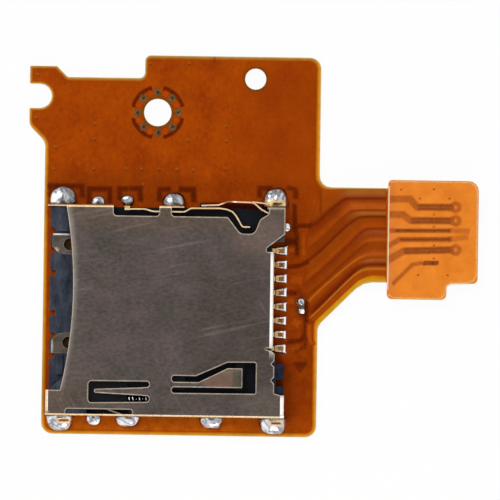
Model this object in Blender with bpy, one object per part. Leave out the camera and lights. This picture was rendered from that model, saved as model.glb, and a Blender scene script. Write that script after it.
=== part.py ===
"""A push-push socket for small memory cards, soldered on its flexible board.

The board lies on its underside at z = 0, with the socket's centre over the origin. A card goes in along
+X, pushes the slider against the coil spring, and meets the contacts in front of the rear wall. Metres.
"""

import math

import bmesh
import bpy
from mathutils import Vector

# The board's sheets and what bonds them.
BOARD_STIFFENER = 0.30e-3
FLEX = 0.15e-3
TAB_STIFFENER = 0.25e-3
BOND = 0.02e-3
FILM = 0.03e-3

# The board's edges, from the socket's centre.
BOARD_LEFT = 9.60e-3
BOARD_RIGHT = 12.10e-3
BOARD_FRONT = 9.80e-3
BOARD_BACK = 20.15e-3
BOARD_CORNER = 0.90e-3
SHOULDER_DEPTH = 1.80e-3
SHOULDER_X = -1.80e-3

# The hook at the board's far left corner, and the half-round notch in it.
HOOK_REACH = 1.28e-3
HOOK_RISE = 0.85e-3
HOOK_LAND = 2.13e-3
HOOK_DROP = 4.70e-3
NOTCH_RADIUS = 0.96e-3
NOTCH_DEPTH = 0.80e-3
NOTCH_BACK = 3.32e-3

# The neck and the tab, and the plug under the tab that sets its height.
NECK_WIDTH = 7.45e-3
NECK_FRONT = 2.50e-3
NECK_LENGTH = 5.70e-3
NECK_FLARE = 3.50e-3
NECK_BENDS = 10
TAB_LENGTH = 6.85e-3
TAB_RISE = 0.65e-3
TAB_DROP = 1.30e-3
TAB_NOTCH = 2.45e-3
TAB_CORNER = 0.80e-3
STIFFENER_LAP = 0.30e-3
PLUG_HEIGHT = 0.80e-3
PLUG_WIDTH = 2.40e-3
PLUG_LENGTH = 6.10e-3
PLUG_WALL = 0.60e-3
PLUG_FLOOR = 0.30e-3
PLUG_X = 21.15e-3
PLUG_Y = 6.10e-3
PLUG_PITCH = 0.50e-3
PLUG_ROW = 7
PLUG_PIN = 0.20e-3
PLUG_STRIP = 0.08e-3
PLUG_FOOT = 0.45e-3

# The holes in the board.
SCREW_HOLE = 2.17e-3
SCREW_X = -0.76e-3
SCREW_Y = 15.65e-3
VIA = 0.45e-3
VIA_RING = 3.18e-3
VIA_COUNT = 8
LOCATING_HOLE = 1.67e-3
LOCATING_X = 6.93e-3
LOCATING_Y = 18.40e-3

# The card that the socket takes, and its way in.
CARD_WIDTH = 11.00e-3
CARD_NARROW = 9.70e-3
CARD_STEP = 7.80e-3
CARD_LEDGE = 0.25e-3
REAR_STOP = 7.90e-3
TRAVEL = 3.80e-3

# The shell, a folded sheet.
SOCKET_HEIGHT = 1.85e-3
SHEET = 0.15e-3
BEND = 0.10e-3
SHELL_LEFT = -9.28e-3
SHELL_RIGHT = 9.53e-3
WALL_GAP = 0.12e-3
FLANGE_GAP = 0.30e-3
FLANGE_BACK = 3.75e-3
FLANGE_FRONT = 3.83e-3
THUMB_RADIUS = 35.0e-3
THUMB_X = -7.20e-3
THUMB_Y = 1.70e-3
CORNER_PLATE = 2.00e-3
EAR_X = 9.42e-3
EAR_DEPTH = 2.14e-3
NARROW_X = -1.60e-3
NARROW_OFFSET = 0.15e-3
NARROW_ROOT = 0.72e-3
NARROW_TIP = -5.44e-3
NARROW_DROP = 0.30e-3
WIDE_X = 1.30e-3
WIDE_WIDTH = 0.42e-3
WIDE_BEND = 5.48e-3
WIDE_TIP = 6.22e-3
WIDE_DROP = 0.21e-3
TONGUE_ROOT = -3.15e-3
TONGUE_BEND = -4.50e-3
TONGUE_TIP = -5.10e-3
TONGUE_GAP = 0.26e-3
FOOT_WIDTH = 1.10e-3
FOOT_REACH = 0.55e-3

# Each of the shell's feet: side, x, whether it is folded outwards, and the width and reach of its solder.
FEET = (
    (1, -8.13e-3, True, 1.90e-3, 1.25e-3),
    (1, -5.35e-3, False, 0.90e-3, 0.48e-3),
    (1, 0.60e-3, False, 1.62e-3, 0.88e-3),
    (1, 8.62e-3, True, 1.90e-3, 1.35e-3),
    (-1, -8.12e-3, True, 2.00e-3, 1.05e-3),
    (-1, -5.47e-3, False, 1.05e-3, 0.58e-3),
    (-1, -2.77e-3, False, 1.80e-3, 0.72e-3),
    (-1, 3.82e-3, False, 1.75e-3, 0.74e-3),
    (-1, 8.66e-3, True, 2.00e-3, 1.12e-3),
)

# Where the shell's side wall stops and starts on the detect switch's side.
WALL_BACK_ENDS = (-4.10e-3, -0.50e-3, 0.47e-3, 1.45e-3, 8.02e-3)

# The moulded housing.
FIT = 0.03e-3
FLOOR = 0.35e-3
HOUSING_LEFT = -9.05e-3
REAR_WALL = 0.52e-3
REAR_BLOCK_X = 8.25e-3
REAR_BLOCK = 0.60e-3
POST_END = 9.50e-3
GUIDE_WALL = 0.47e-3
SWITCH_ROOM = 1.79e-3
CHANNEL_WALL = 0.54e-3
ENTRY_BLOCK = 1.35e-3
EAR_BLOCK = 2.54e-3
CORNER_BLOCK = 1.69e-3
REAR_BLOCK_WIDTH = 4.19e-3
POSTS = ((2.87e-3, 4.07e-3), (1.73e-3, 2.35e-3))
NOTCHES = (4.98e-3, 3.40e-3, 1.62e-3, -1.55e-3, -3.31e-3, -4.90e-3)
NOTCH_WIDTH = 0.44e-3
NOTCH_CUT = 0.42e-3

# The plate moulded in under the card.
INSERT_SHEET = 0.15e-3
INSERT_END = 2.60e-3
INSERT_INSET = 4.57e-3
LUG_SPACING = 7.74e-3
LUG_WIDTH = 1.70e-3
LUG_LENGTH = 1.95e-3
PILOT_HOLE = 0.94e-3
PILOT_X = -7.55e-3

# The contacts.
CONTACT_COUNT = 8
CONTACT_PITCH = 1.10e-3
CONTACT_INSET = 4.82e-3
CONTACT_WIDTH = 0.35e-3
CONTACT_SHEET = 0.12e-3
CONTACT_LIFT = 0.15e-3
CONTACT_CREST_X = 4.90e-3
CONTACT_TIP = 0.70e-3
SLOT_WIDTH = 0.60e-3
TAIL_END = 9.55e-3
TAIL_LENGTH = 0.47e-3

# The card-detect switch.
DETECT_SHEET = 0.10e-3
DETECT_HEIGHT = 0.85e-3
DETECT_LIFT = 0.15e-3
DETECT_FOOT = 0.40e-3
DETECT_TAIL = 0.22e-3

# The switch's two strips, seen from above: x, y past the moulding's back face, and the radius of each turn.
SPRING_PATH = (
    (-3.25e-3, -0.16e-3, 0),
    (-2.42e-3, -0.12e-3, 0.5e-3),
    (-1.64e-3, -0.12e-3, 0.5e-3),
    (-0.97e-3, -0.30e-3, 0.5e-3),
    (1.50e-3, -0.30e-3, 0.5e-3),
    (1.95e-3, -0.01e-3, 0.5e-3),
    (4.30e-3, 0.02e-3, 1.5e-3),
    (5.30e-3, -0.14e-3, 1.0e-3),
    (6.05e-3, -1.42e-3, 0.25e-3),
    (6.65e-3, -1.42e-3, 0),
)
FIXED_PATH = (
    (2.80e-3, 0.22e-3, 0),
    (4.15e-3, 0.28e-3, 0.5e-3),
    (4.90e-3, 0.56e-3, 0.5e-3),
    (6.90e-3, 0.51e-3, 0.5e-3),
    (7.55e-3, -0.04e-3, 0.3e-3),
    (8.05e-3, -0.30e-3, 0.3e-3),
    (8.60e-3, -0.30e-3, 0.2e-3),
    (8.60e-3, -1.56e-3, 0),
)

# The ejector: slider, cam pin, springs.
NARROW_GAP = 0.13e-3
HEART_WIDTH = 2.22e-3
END_GAP = 0.15e-3
ARM_LENGTH = 2.30e-3
SPRING_SEAT = 3.15e-3
SPRING_DIAMETER = 1.00e-3
SPRING_WIRE = 0.20e-3
SPRING_TURNS = 22
SPRING_GAP = 0.25e-3
SPRING_BOSS = 0.70e-3
PIN_WIRE = 0.28e-3
PIN_MARGIN = 0.70e-3
PIVOT_BLOCK_X = 5.65e-3
PIVOT_BLOCK = 0.70e-3
PIN_INSET = 0.44e-3
PIN_LEG = 0.38e-3
PIN_SWING = 9.0
GROOVE_PLAY = 0.10e-3
GROOVE_DEPTH = 0.42e-3
LATCH_SHEET = 0.12e-3
LATCH_REACH = 0.20e-3

# The chip behind the contacts.
CHIP_X = 10.80e-3
CHIP_Y = 0.55e-3
CHIP_LENGTH = 1.00e-3
CHIP_WIDTH = 0.50e-3
CHIP_CAP = 0.25e-3

# Heights that follow from the sizes above.
FLEX_BOTTOM = BOARD_STIFFENER + BOND
FLEX_TOP = FLEX_BOTTOM + FLEX
TAB_BOTTOM = PLUG_HEIGHT + FILM
TAB_TOP = TAB_BOTTOM + FLEX
SEAT = FLEX_TOP + FILM
SOLDER_BASE = FLEX_TOP + BOND
SHELL_TOP = SEAT + SOCKET_HEIGHT
ROOF = SHELL_TOP - SHEET
FLOOR_TOP = SEAT + FLOOR
WALL_TOP = ROOF - FIT
CARD_PLANE = FLOOR_TOP + CARD_LEDGE
SLIDER_BOTTOM = FLOOR_TOP + FIT
SLIDER_TOP = ROOF - WIDE_DROP - PIN_WIRE - 2 * FIT
PIN_Z = SLIDER_TOP + FIT + PIN_WIRE / 2
SPRING_Z = FLOOR_TOP + FIT + SPRING_DIAMETER / 2

# Places that follow from them.
TAB_X = BOARD_RIGHT + NECK_LENGTH
TAB_END = TAB_X + TAB_LENGTH
NECK_BACK = NECK_FRONT + NECK_WIDTH
SHOULDER_Y = BOARD_BACK - SHOULDER_DEPTH
HOOK_X = -BOARD_LEFT - HOOK_REACH
HOOK_Y = SHOULDER_Y + HOOK_RISE
NOTCH_Y = BOARD_BACK - NOTCH_BACK
EJECTOR_WIDTH = NARROW_GAP + HEART_WIDTH + SPRING_GAP + SPRING_DIAMETER + 5 * FIT + CHANNEL_WALL
HOUSING_HALF = (EJECTOR_WIDTH + CARD_NARROW + FIT + GUIDE_WALL + SWITCH_ROOM) / 2
WALL_INNER = HOUSING_HALF + FIT
SHELL_HALF = WALL_INNER + SHEET
CARD_EDGE = HOUSING_HALF - SWITCH_ROOM - GUIDE_WALL - FIT
CARD_WIDE_Y = CARD_EDGE - CARD_WIDTH
CARD_NARROW_Y = CARD_EDGE - CARD_NARROW
CONTACT_CENTRE = CARD_EDGE - CONTACT_INSET
INSERT_CENTRE = CARD_EDGE - INSERT_INSET
NOSE_X = REAR_STOP - CARD_STEP - TRAVEL
SLIDER_LEFT = NOSE_X - ARM_LENGTH
HEART_END = PIVOT_BLOCK_X - END_GAP - TRAVEL
SLIDER_Y = CARD_NARROW_Y - NARROW_GAP
HEART_Y = SLIDER_Y - HEART_WIDTH
SPRING_Y = HEART_Y - SPRING_GAP - SPRING_DIAMETER / 2
SLIDER_OUTER = SPRING_Y - SPRING_DIAMETER / 2 - FIT
SPRING_X = SLIDER_LEFT + SPRING_SEAT
PIN_Y = HEART_Y + PIN_INSET
PIVOT_X = PIVOT_BLOCK_X + PIVOT_BLOCK / 2
PIN_REACH = PIVOT_X - HEART_END + PIN_MARGIN
FLANGE_X = REAR_STOP + REAR_WALL + FIT + SHEET
CORNER_PLATE_Y = CORNER_PLATE - SHELL_HALF
NARROW_Y = HEART_Y - NARROW_OFFSET
TONGUE_Y = SLIDER_OUTER - TONGUE_GAP
EAR_FRONT = SHELL_HALF - EAR_DEPTH
FLANGE_SPAN = (CONTACT_CENTRE - FLANGE_FRONT, CONTACT_CENTRE + FLANGE_BACK)
TONGUE_Z = (FLOOR_TOP + 0.15e-3, ROOF - 0.40e-3)


def material(name, colour, roughness, metallic):
    """A plain Principled finish in the real piece's colour."""
    made = bpy.data.materials.new(name)
    made.use_nodes = True
    shader = made.node_tree.nodes["Principled BSDF"]
    shader.inputs["Base Color"].default_value = (*colour, 1)
    shader.inputs["Roughness"].default_value = roughness
    shader.inputs["Metallic"].default_value = metallic
    return made


def add_mesh(name, bm):
    """The bmesh as an object, its points rounded so that faces meant to be flush are flush."""
    for vertex in bm.verts:
        vertex.co = [round(c, 8) for c in vertex.co]
    bmesh.ops.recalc_face_normals(bm, faces=bm.faces)
    mesh = bpy.data.meshes.new(name)
    bm.to_mesh(mesh)
    bm.free()
    made = bpy.data.objects.new(name, mesh)
    bpy.context.scene.collection.objects.link(made)
    return made


def rounded(corners, closed=True):
    """The outline through (x, y, radius) corners, each rounded by an arc that its two sides have room for."""
    points = []
    count = len(corners)
    for i, (x, y, radius) in enumerate(corners):
        here = Vector((x, y))
        if radius == 0 or (not closed and i in (0, count - 1)):
            points.append((x, y))
            continue
        back = Vector(corners[i - 1][:2]) - here
        ahead = Vector(corners[(i + 1) % count][:2]) - here
        half = back.angle(ahead) / 2
        turn = math.pi - 2 * half
        leg = min(radius / math.tan(half), 0.49 * back.length, 0.49 * ahead.length)
        radius = leg * math.tan(half)
        centre = here + (back.normalized() + ahead.normalized()).normalized() * (radius / math.sin(half))
        start = here + back.normalized() * leg - centre
        side = math.copysign(1, back.x * ahead.y - back.y * ahead.x)
        steps = max(2, round(turn / math.radians(22)))
        for step in range(steps + 1):
            angle = -side * turn * step / steps
            points.append((
                centre.x + start.x * math.cos(angle) - start.y * math.sin(angle),
                centre.y + start.x * math.sin(angle) + start.y * math.cos(angle),
            ))
    return points


def circle(x, y, diameter, steps=16):
    return [
        (
            x + diameter / 2 * math.cos(math.tau * i / steps),
            y + diameter / 2 * math.sin(math.tau * i / steps),
        )
        for i in range(steps)
    ]


def ribbon(path, width):
    """The outline of a strip of this width whose middle follows the path, with mitred turns."""
    points = [Vector(p) for p in path]
    sides = []
    for i, point in enumerate(points):
        before = (point - points[i - 1]).normalized() if i else None
        after = (points[i + 1] - point).normalized() if i + 1 < len(points) else None
        along = ((before or after) + (after or before)).normalized()
        across = Vector((-along.y, along.x))
        reach = width / 2 / max(0.3, along.dot(before or after))
        sides.append((point + across * reach, point - across * reach))
    return [tuple(a) for a, b in sides] + [tuple(b) for a, b in reversed(sides)]


def prism(name, points, low, high, along="Z"):
    """The outline, given in the other two axes in order, made into a bar from low to high along one axis."""
    place = {
        "X": lambda a, b, c: (c, a, b),
        "Y": lambda a, b, c: (a, c, b),
        "Z": lambda a, b, c: (a, b, c),
    }[along]
    bm = bmesh.new()
    face = bm.faces.new([bm.verts.new(place(a, b, low)) for a, b in points])
    grown = bmesh.ops.extrude_face_region(bm, geom=[face])
    moved = [v for v in grown["geom"] if isinstance(v, bmesh.types.BMVert)]
    bmesh.ops.translate(bm, verts=moved, vec=place(0, 0, high - low))
    return add_mesh(name, bm)


def block(name, x, y, z):
    """A box from (low, high) pairs."""
    return prism(name, [(x[0], y[0]), (x[1], y[0]), (x[1], y[1]), (x[0], y[1])], z[0], z[1])


def leaf(name, points, low, high, stations):
    """A flat sheet bent to lie at the given rise at each (x, rise) station, straight between them."""
    bm = bmesh.new()
    bm.faces.new([bm.verts.new((x, y, low)) for x, y in points])
    for x, _ in stations:
        bmesh.ops.bisect_plane(
            bm, geom=bm.verts[:] + bm.edges[:] + bm.faces[:], plane_co=(x, 0, 0), plane_no=(1, 0, 0)
        )
    grown = bmesh.ops.extrude_face_region(bm, geom=bm.faces[:])
    moved = [v for v in grown["geom"] if isinstance(v, bmesh.types.BMVert)]
    bmesh.ops.translate(bm, verts=moved, vec=(0, 0, high - low))
    for vertex in bm.verts:
        vertex.co.z += rise_at(vertex.co.x, stations)
    return add_mesh(name, bm)


def rise_at(x, stations):
    if x <= stations[0][0]:
        return stations[0][1]
    for (x0, rise0), (x1, rise1) in zip(stations, stations[1:]):
        if x <= x1:
            return rise0 + (rise1 - rise0) * (x - x0) / (x1 - x0)
    return stations[-1][1]


def wire(name, points, diameter, sides):
    """A round wire along the points, with closed ends."""
    curve = bpy.data.curves.new(name, "CURVE")
    curve.dimensions = "3D"
    curve.bevel_depth = diameter / 2
    curve.bevel_resolution = (sides - 4) // 2
    curve.use_fill_caps = True
    spline = curve.splines.new("POLY")
    spline.points.add(len(points) - 1)
    for target, point in zip(spline.points, points):
        target.co = (*point, 1)
    made = bpy.data.objects.new(name, curve)
    bpy.context.scene.collection.objects.link(made)
    return made


def bead(name, x, y, reach, height, base, wall=0, flare=0):
    """A bead of solder about x, y with a full, boxy outline. reach is its (x, y) half widths, and it widens along +X
    by its flare. A wall of 1 or -1 leaves only that y side."""
    steps = 9 if wall else 14
    rows = 4
    turns = [wall * math.pi * i / (steps - 1) if wall else math.tau * i / steps for i in range(steps)]
    bm = bmesh.new()
    rings = []
    for row in range(rows):
        lift = math.pi / 2 * row / rows
        ring = []
        for turn in turns:
            east = full(math.cos(turn)) * math.cos(lift)
            north = full(math.sin(turn)) * math.cos(lift) * (1 + flare * east)
            high = base + height * math.sin(lift)
            ring.append(bm.verts.new((x + reach[0] * east, y + reach[1] * north, high)))
        rings.append(ring)
    top = bm.verts.new((x, y, base + height))
    last = steps - 1 if wall else steps
    for low, high in zip(rings, rings[1:]):
        for i in range(last):
            bm.faces.new((low[i], low[(i + 1) % steps], high[(i + 1) % steps], high[i]))
    for i in range(last):
        bm.faces.new((rings[-1][i], rings[-1][(i + 1) % steps], top))
    bm.faces.new(rings[0])
    if wall:
        bm.faces.new([ring[0] for ring in rings] + [top] + [ring[-1] for ring in reversed(rings)])
    made = add_mesh(name, bm)
    made.data.shade_smooth()
    made.data.set_sharp_from_angle(angle=math.radians(60))
    return made


def full(value):
    """A sine or cosine pushed outwards, so that a circle drawn with it is fuller at its corners."""
    return math.copysign(abs(value) ** 0.75, value) if abs(value) > 1e-9 else 0


def boolean(target, tool, operation):
    tool.hide_render = True
    tool.display_type = "WIRE"
    change = target.modifiers.new(tool.name, "BOOLEAN")
    change.operation = operation
    change.object = tool


def cut(target, *tools):
    for tool in tools:
        boolean(target, tool, "DIFFERENCE")


def join(target, *extras):
    for extra in extras:
        boolean(target, extra, "UNION")


def set_origin(target, point):
    """The object's origin moved to a joint's axis, with its shape left where it is."""
    shift = Vector(point)
    if target.type == "CURVE":
        for spline in target.data.splines:
            for p in spline.points:
                p.co = (*(p.co.to_3d() - shift), 1)
    else:
        for vertex in target.data.vertices:
            vertex.co -= shift
    target.location = shift


def finish(made, *targets):
    for target in targets:
        target.data.materials.append(made)


def board_hole_tools(name, low, high):
    """The screw hole and the locating hole, through one sheet of the board."""
    return [
        prism(f"{name}_screw_hole", circle(SCREW_X, SCREW_Y, SCREW_HOLE, 24), low, high),
        prism(f"{name}_locating_hole", circle(LOCATING_X, LOCATING_Y, LOCATING_HOLE, 20), low, high),
    ]


def left_edge():
    """The board's left side from its front corner up to its shoulder, with the hook and its notch."""
    notch_x = HOOK_X + NOTCH_DEPTH
    notch = [
        (notch_x + NOTCH_RADIUS * math.sin(turn), NOTCH_Y - NOTCH_RADIUS * math.cos(turn), 0)
        for turn in (math.pi * step / 8 for step in range(9))
    ]
    jaw = HOOK_Y - HOOK_DROP
    return [
        (-BOARD_LEFT, -BOARD_FRONT, BOARD_CORNER),
        (-BOARD_LEFT, jaw - HOOK_REACH, BOARD_CORNER),
        (HOOK_X, jaw, BOARD_CORNER),
        (HOOK_X, NOTCH_Y - NOTCH_RADIUS, 0.1e-3),
        *notch,
        (HOOK_X, NOTCH_Y + NOTCH_RADIUS, 0.1e-3),
        (HOOK_X, HOOK_Y, 0.1e-3),
        (HOOK_X + HOOK_LAND, HOOK_Y, 0.15e-3),
        (HOOK_X + HOOK_LAND + HOOK_RISE, SHOULDER_Y, 0.3e-3),
        (SHOULDER_X, SHOULDER_Y, BOARD_CORNER / 2),
        (SHOULDER_X, BOARD_BACK, BOARD_CORNER / 2),
        (BOARD_RIGHT, BOARD_BACK, BOARD_CORNER),
    ]


def tab_edge(left):
    """The tab's outline from its back left corner round to its front left corner."""
    back = NECK_BACK + TAB_RISE
    front = NECK_FRONT - TAB_DROP
    return [
        (left, back, TAB_RISE / 2),
        (TAB_END, back, TAB_CORNER),
        (TAB_END, NECK_FRONT, TAB_CORNER / 2),
        (TAB_END - TAB_NOTCH, NECK_FRONT, TAB_CORNER / 2),
        (TAB_END - TAB_NOTCH, front, TAB_CORNER / 2),
        (left, front, TAB_CORNER / 2),
    ]


def make_board():
    start = BOARD_RIGHT + BOARD_CORNER / 2
    end = TAB_X - STIFFENER_LAP - BOARD_CORNER / 4
    rise = TAB_BOTTOM - FLEX_BOTTOM
    bends = [i / NECK_BENDS for i in range(NECK_BENDS + 1)]
    stations = [(start + (end - start) * t, rise * t * t * (3 - 2 * t)) for t in bends]
    outline = rounded([
        *left_edge(),
        (BOARD_RIGHT, NECK_BACK, BOARD_CORNER),
        (TAB_X, NECK_BACK, TAB_RISE / 2),
        *tab_edge(TAB_X),
        (TAB_X, NECK_FRONT, TAB_RISE / 2),
        (BOARD_RIGHT + NECK_FLARE, NECK_FRONT, 2 * BOARD_CORNER),
        (BOARD_RIGHT, NECK_FRONT - NECK_FLARE, BOARD_CORNER),
        (BOARD_RIGHT, -BOARD_FRONT, BOARD_CORNER),
    ])
    flex = leaf("flex_board", outline, FLEX_BOTTOM, FLEX_TOP, stations)
    vias = [
        prism(
            f"via_{i + 1}",
            circle(
                SCREW_X + VIA_RING / 2 * math.cos(math.tau * i / VIA_COUNT),
                SCREW_Y + VIA_RING / 2 * math.sin(math.tau * i / VIA_COUNT),
                VIA,
                8,
            ),
            FLEX_BOTTOM - FLEX,
            FLEX_TOP + FLEX,
        )
        for i in range(VIA_COUNT)
    ]
    cut(flex, *board_hole_tools("flex", FLEX_BOTTOM - FLEX, FLEX_TOP + FLEX), *vias)
    finish(material("amber_polyimide", (0.36, 0.09, 0.01), 0.35, 0), flex)

    plate = prism(
        "board_stiffener",
        rounded([*left_edge(), (BOARD_RIGHT, -BOARD_FRONT, BOARD_CORNER)]),
        0,
        BOARD_STIFFENER,
    )
    cut(plate, *board_hole_tools("stiffener", -BOARD_STIFFENER, 2 * BOARD_STIFFENER))
    finish(material("brown_laminate", (0.30, 0.13, 0.03), 0.5, 0), plate)

    low = TAB_TOP + BOND
    top = prism("tab_stiffener", rounded(tab_edge(TAB_X - STIFFENER_LAP)), low, low + TAB_STIFFENER)
    finish(material("orange_polyimide", (0.80, 0.24, 0.04), 0.35, 0), top)


def make_plug():
    """The plug under the tab, mating face down: a trough with a row of contacts on each long wall."""
    x = (PLUG_X - PLUG_WIDTH / 2, PLUG_X + PLUG_WIDTH / 2)
    y = (PLUG_Y - PLUG_LENGTH / 2, PLUG_Y + PLUG_LENGTH / 2)
    housing = block("plug_housing", x, y, (0, PLUG_HEIGHT))
    trough = block(
        "plug_trough",
        (x[0] + PLUG_WALL, x[1] - PLUG_WALL),
        (y[0] + PLUG_WALL, y[1] - PLUG_WALL),
        (-PLUG_FLOOR, PLUG_HEIGHT - PLUG_FLOOR),
    )
    cut(housing, trough)
    finish(material("black_plug_plastic", (0.02, 0.02, 0.025), 0.5, 0), housing)

    gold = material("plug_gold", (0.85, 0.60, 0.25), 0.3, 1)
    low = PLUG_HEIGHT / 8
    for end, side in enumerate((-1, 1)):
        turn = 0 if side > 0 else math.pi
        for i in range(PLUG_ROW):
            offset = (i - (PLUG_ROW - 1) / 2) * PLUG_PITCH
            number = end * PLUG_ROW + i + 1
            face = PLUG_WIDTH / 2 - PLUG_STRIP
            path = [
                (face + PLUG_STRIP / 2, low),
                (face + PLUG_STRIP / 2, PLUG_HEIGHT - PLUG_STRIP / 2),
                (PLUG_WIDTH / 2 + PLUG_FOOT, PLUG_HEIGHT - PLUG_STRIP / 2),
            ]
            pin = prism(f"plug_contact_{number}", ribbon(path, PLUG_STRIP), -PLUG_PIN / 2, PLUG_PIN / 2, "Y")
            pin.location = (PLUG_X, PLUG_Y + offset, 0)
            pin.rotation_euler.z = turn
            groove = block(
                f"plug_groove_{number}",
                (face - BOND, PLUG_WIDTH),
                (-PLUG_PIN / 2 - BOND, PLUG_PIN / 2 + BOND),
                (low - BOND, PLUG_HEIGHT + PLUG_STRIP),
            )
            groove.location = pin.location
            groove.rotation_euler.z = turn
            cut(housing, groove)
            finish(gold, pin)
        wide = PLUG_WIDTH / 2 - PLUG_WALL
        face = PLUG_LENGTH / 2 + BOND
        path = [
            (face + PLUG_STRIP / 2, low),
            (face + PLUG_STRIP / 2, PLUG_HEIGHT - PLUG_STRIP / 2),
            (face + PLUG_FOOT, PLUG_HEIGHT - PLUG_STRIP / 2),
        ]
        anchor = prism(f"plug_anchor_{end + 1}", ribbon(path, PLUG_STRIP), -wide, wide, "X")
        anchor.location = (PLUG_X, PLUG_Y, 0)
        anchor.rotation_euler.z = turn
        finish(gold, anchor)


def thumb_edge(y):
    """The shell's entry edge, an arc that bows towards the card's slot."""
    return THUMB_X - (THUMB_RADIUS - math.sqrt(THUMB_RADIUS**2 - (y - THUMB_Y) ** 2))


def channel(half, top, bottom, radius):
    """The section of a channel that opens downwards: y, z points with its two upper edges rounded."""
    return rounded([(-half, bottom, 0), (half, bottom, 0), (half, top, radius), (-half, top, radius)])


def folded_flange(name, x, direction, span, bottom):
    """A flap of the plate that ends at x and is folded down there, across the given span of y."""
    middle = SHEET / 2
    path = rounded(
        [
            (x - direction * 5 * SHEET, SHELL_TOP - middle, 0),
            (x - direction * middle, SHELL_TOP - middle, BEND + middle),
            (x - direction * middle, bottom, 0),
        ],
        closed=False,
    )
    return prism(name, ribbon(path, SHEET), span[0], span[1], "Y")


def window_tools():
    """The windows in the shell's plate, and what is cut away round its edges."""
    over = SHELL_TOP + SHEET
    under = ROOF - SHEET
    small = 0.25e-3
    places = [WALL_INNER + (CORNER_PLATE_Y - WALL_INNER) * i / 12 for i in range(13)]
    arc = [(thumb_edge(y), y) for y in places]
    entry = arc + [(SHELL_LEFT - SHEET, CORNER_PLATE_Y), (SHELL_LEFT - SHEET, WALL_INNER)]
    wall_a, tab_left, tab_right, wall_b, wall_c = WALL_BACK_ENDS
    beyond = SHELL_HALF + SHEET
    strip_y = WALL_INNER - 0.69e-3
    switch = rounded([
        (tab_right, WALL_INNER, 0),
        (tab_right, strip_y, small),
        (4.90e-3, strip_y, small),
        (5.90e-3, EAR_FRONT, 2 * small),
        (7.00e-3, EAR_FRONT, 2 * small),
        (7.45e-3, WALL_INNER - 0.82e-3, 2 * small),
        (8.13e-3, WALL_INNER - 0.42e-3, small),
        (8.13e-3, WALL_INNER, 0),
    ])
    hook_left = NARROW_TIP - 0.46e-3
    hook_right = NARROW_X + 0.50e-3
    root = NARROW_ROOT / 2
    hook = rounded([
        (hook_left, NARROW_Y + 0.77e-3, small),
        (hook_right, NARROW_Y + 0.79e-3, small),
        (hook_right, NARROW_Y + root, 0.2e-3),
        (NARROW_X, NARROW_Y + root - BOND, 0),
        (NARROW_X, NARROW_Y - root + BOND, 0),
        (hook_right, NARROW_Y - root, 0.2e-3),
        (hook_right, NARROW_Y - 0.81e-3, small),
        (hook_left, NARROW_Y - 0.91e-3, small),
    ])
    press_left = WIDE_X - 0.63e-3
    press_right = WIDE_TIP + 1.06e-3
    wide = WIDE_WIDTH / 2
    press = rounded([
        (press_left, PIN_Y + 0.70e-3, 0.2e-3),
        (WIDE_X + 1.26e-3, PIN_Y + 0.68e-3, small),
        (WIDE_TIP - 1.17e-3, PIN_Y + 1.79e-3, small),
        (press_right, PIN_Y + 1.81e-3, small / 2),
        (press_right, PIN_Y - 0.64e-3, small / 2),
        (press_left, PIN_Y - 0.66e-3, 0.2e-3),
        (press_left, PIN_Y - wide, 0.2e-3),
        (WIDE_X, PIN_Y - wide, 0),
        (WIDE_X, PIN_Y + wide, 0),
        (press_left, PIN_Y + wide, 0.2e-3),
    ])
    post_edge = FLANGE_X + 0.13e-3
    post_gap = FLANGE_X - 0.12e-3
    rear = [
        (EAR_X, beyond),
        (EAR_X, EAR_FRONT),
        (FLANGE_X - 4 * SHEET, FLANGE_SPAN[1] + 2 * SHEET),
        (FLANGE_X - 4 * SHEET, FLANGE_SPAN[0] - SHEET / 2),
        (FLANGE_X - 0.10e-3, 5.12e-3 - WALL_INNER),
        (post_edge, 4.92e-3 - WALL_INNER),
        (post_edge, 4.37e-3 - WALL_INNER),
        (post_gap, 4.12e-3 - WALL_INNER),
        (post_edge - 0.01e-3, 3.92e-3 - WALL_INNER),
        (post_edge - 0.01e-3, 3.07e-3 - WALL_INNER),
        (post_gap, 2.85e-3 - WALL_INNER),
        (post_edge, 2.57e-3 - WALL_INNER),
        (post_edge, 1.82e-3 - WALL_INNER),
        (SHELL_RIGHT - 2 * SHEET, 1.67e-3 - WALL_INNER),
        (SHELL_RIGHT - 2 * SHEET, SHEET + BEND - SHELL_HALF),
        (SHELL_RIGHT + SHEET, SHEET + BEND - SHELL_HALF),
        (SHELL_RIGHT + SHEET, beyond),
    ]
    left = SHELL_LEFT + 2 * SHEET
    return [
        prism("entry_cut", entry, under, over),
        block(
            "corner_cut",
            (SHELL_LEFT - SHEET, left),
            (SHEET + BEND - SHELL_HALF, CORNER_PLATE_Y + SHEET),
            (under, over),
        ),
        prism("notch_cut", rounded([
            (wall_a, beyond, 0), (wall_a, strip_y, small), (tab_left, strip_y, small), (tab_left, beyond, 0),
        ]), 0, over),
        prism("switch_cut", switch, under, over),
        block("switch_wall_cut", (wall_b, wall_c), (WALL_INNER - FIT, beyond), (0, over)),
        prism("narrow_finger_window", hook, under, over),
        prism("wide_finger_window", press, under, over),
        prism("rear_cut", rear, 0, over),
        prism("edge_slot", rounded([
            (-7.68e-3, 0.38e-3 - WALL_INNER, 0.15e-3),
            (-2.42e-3, 0.38e-3 - WALL_INNER, 0.15e-3),
            (-2.42e-3, -WALL_INNER, 0.1e-3),
            (-7.68e-3, -WALL_INNER, 0.1e-3),
        ]), under, over),
        block(
            "tongue_window",
            (TONGUE_TIP - SHEET, TONGUE_ROOT),
            (-beyond, SHEET - WALL_INNER),
            grown(TONGUE_Z, FIT),
        ),
    ]


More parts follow.
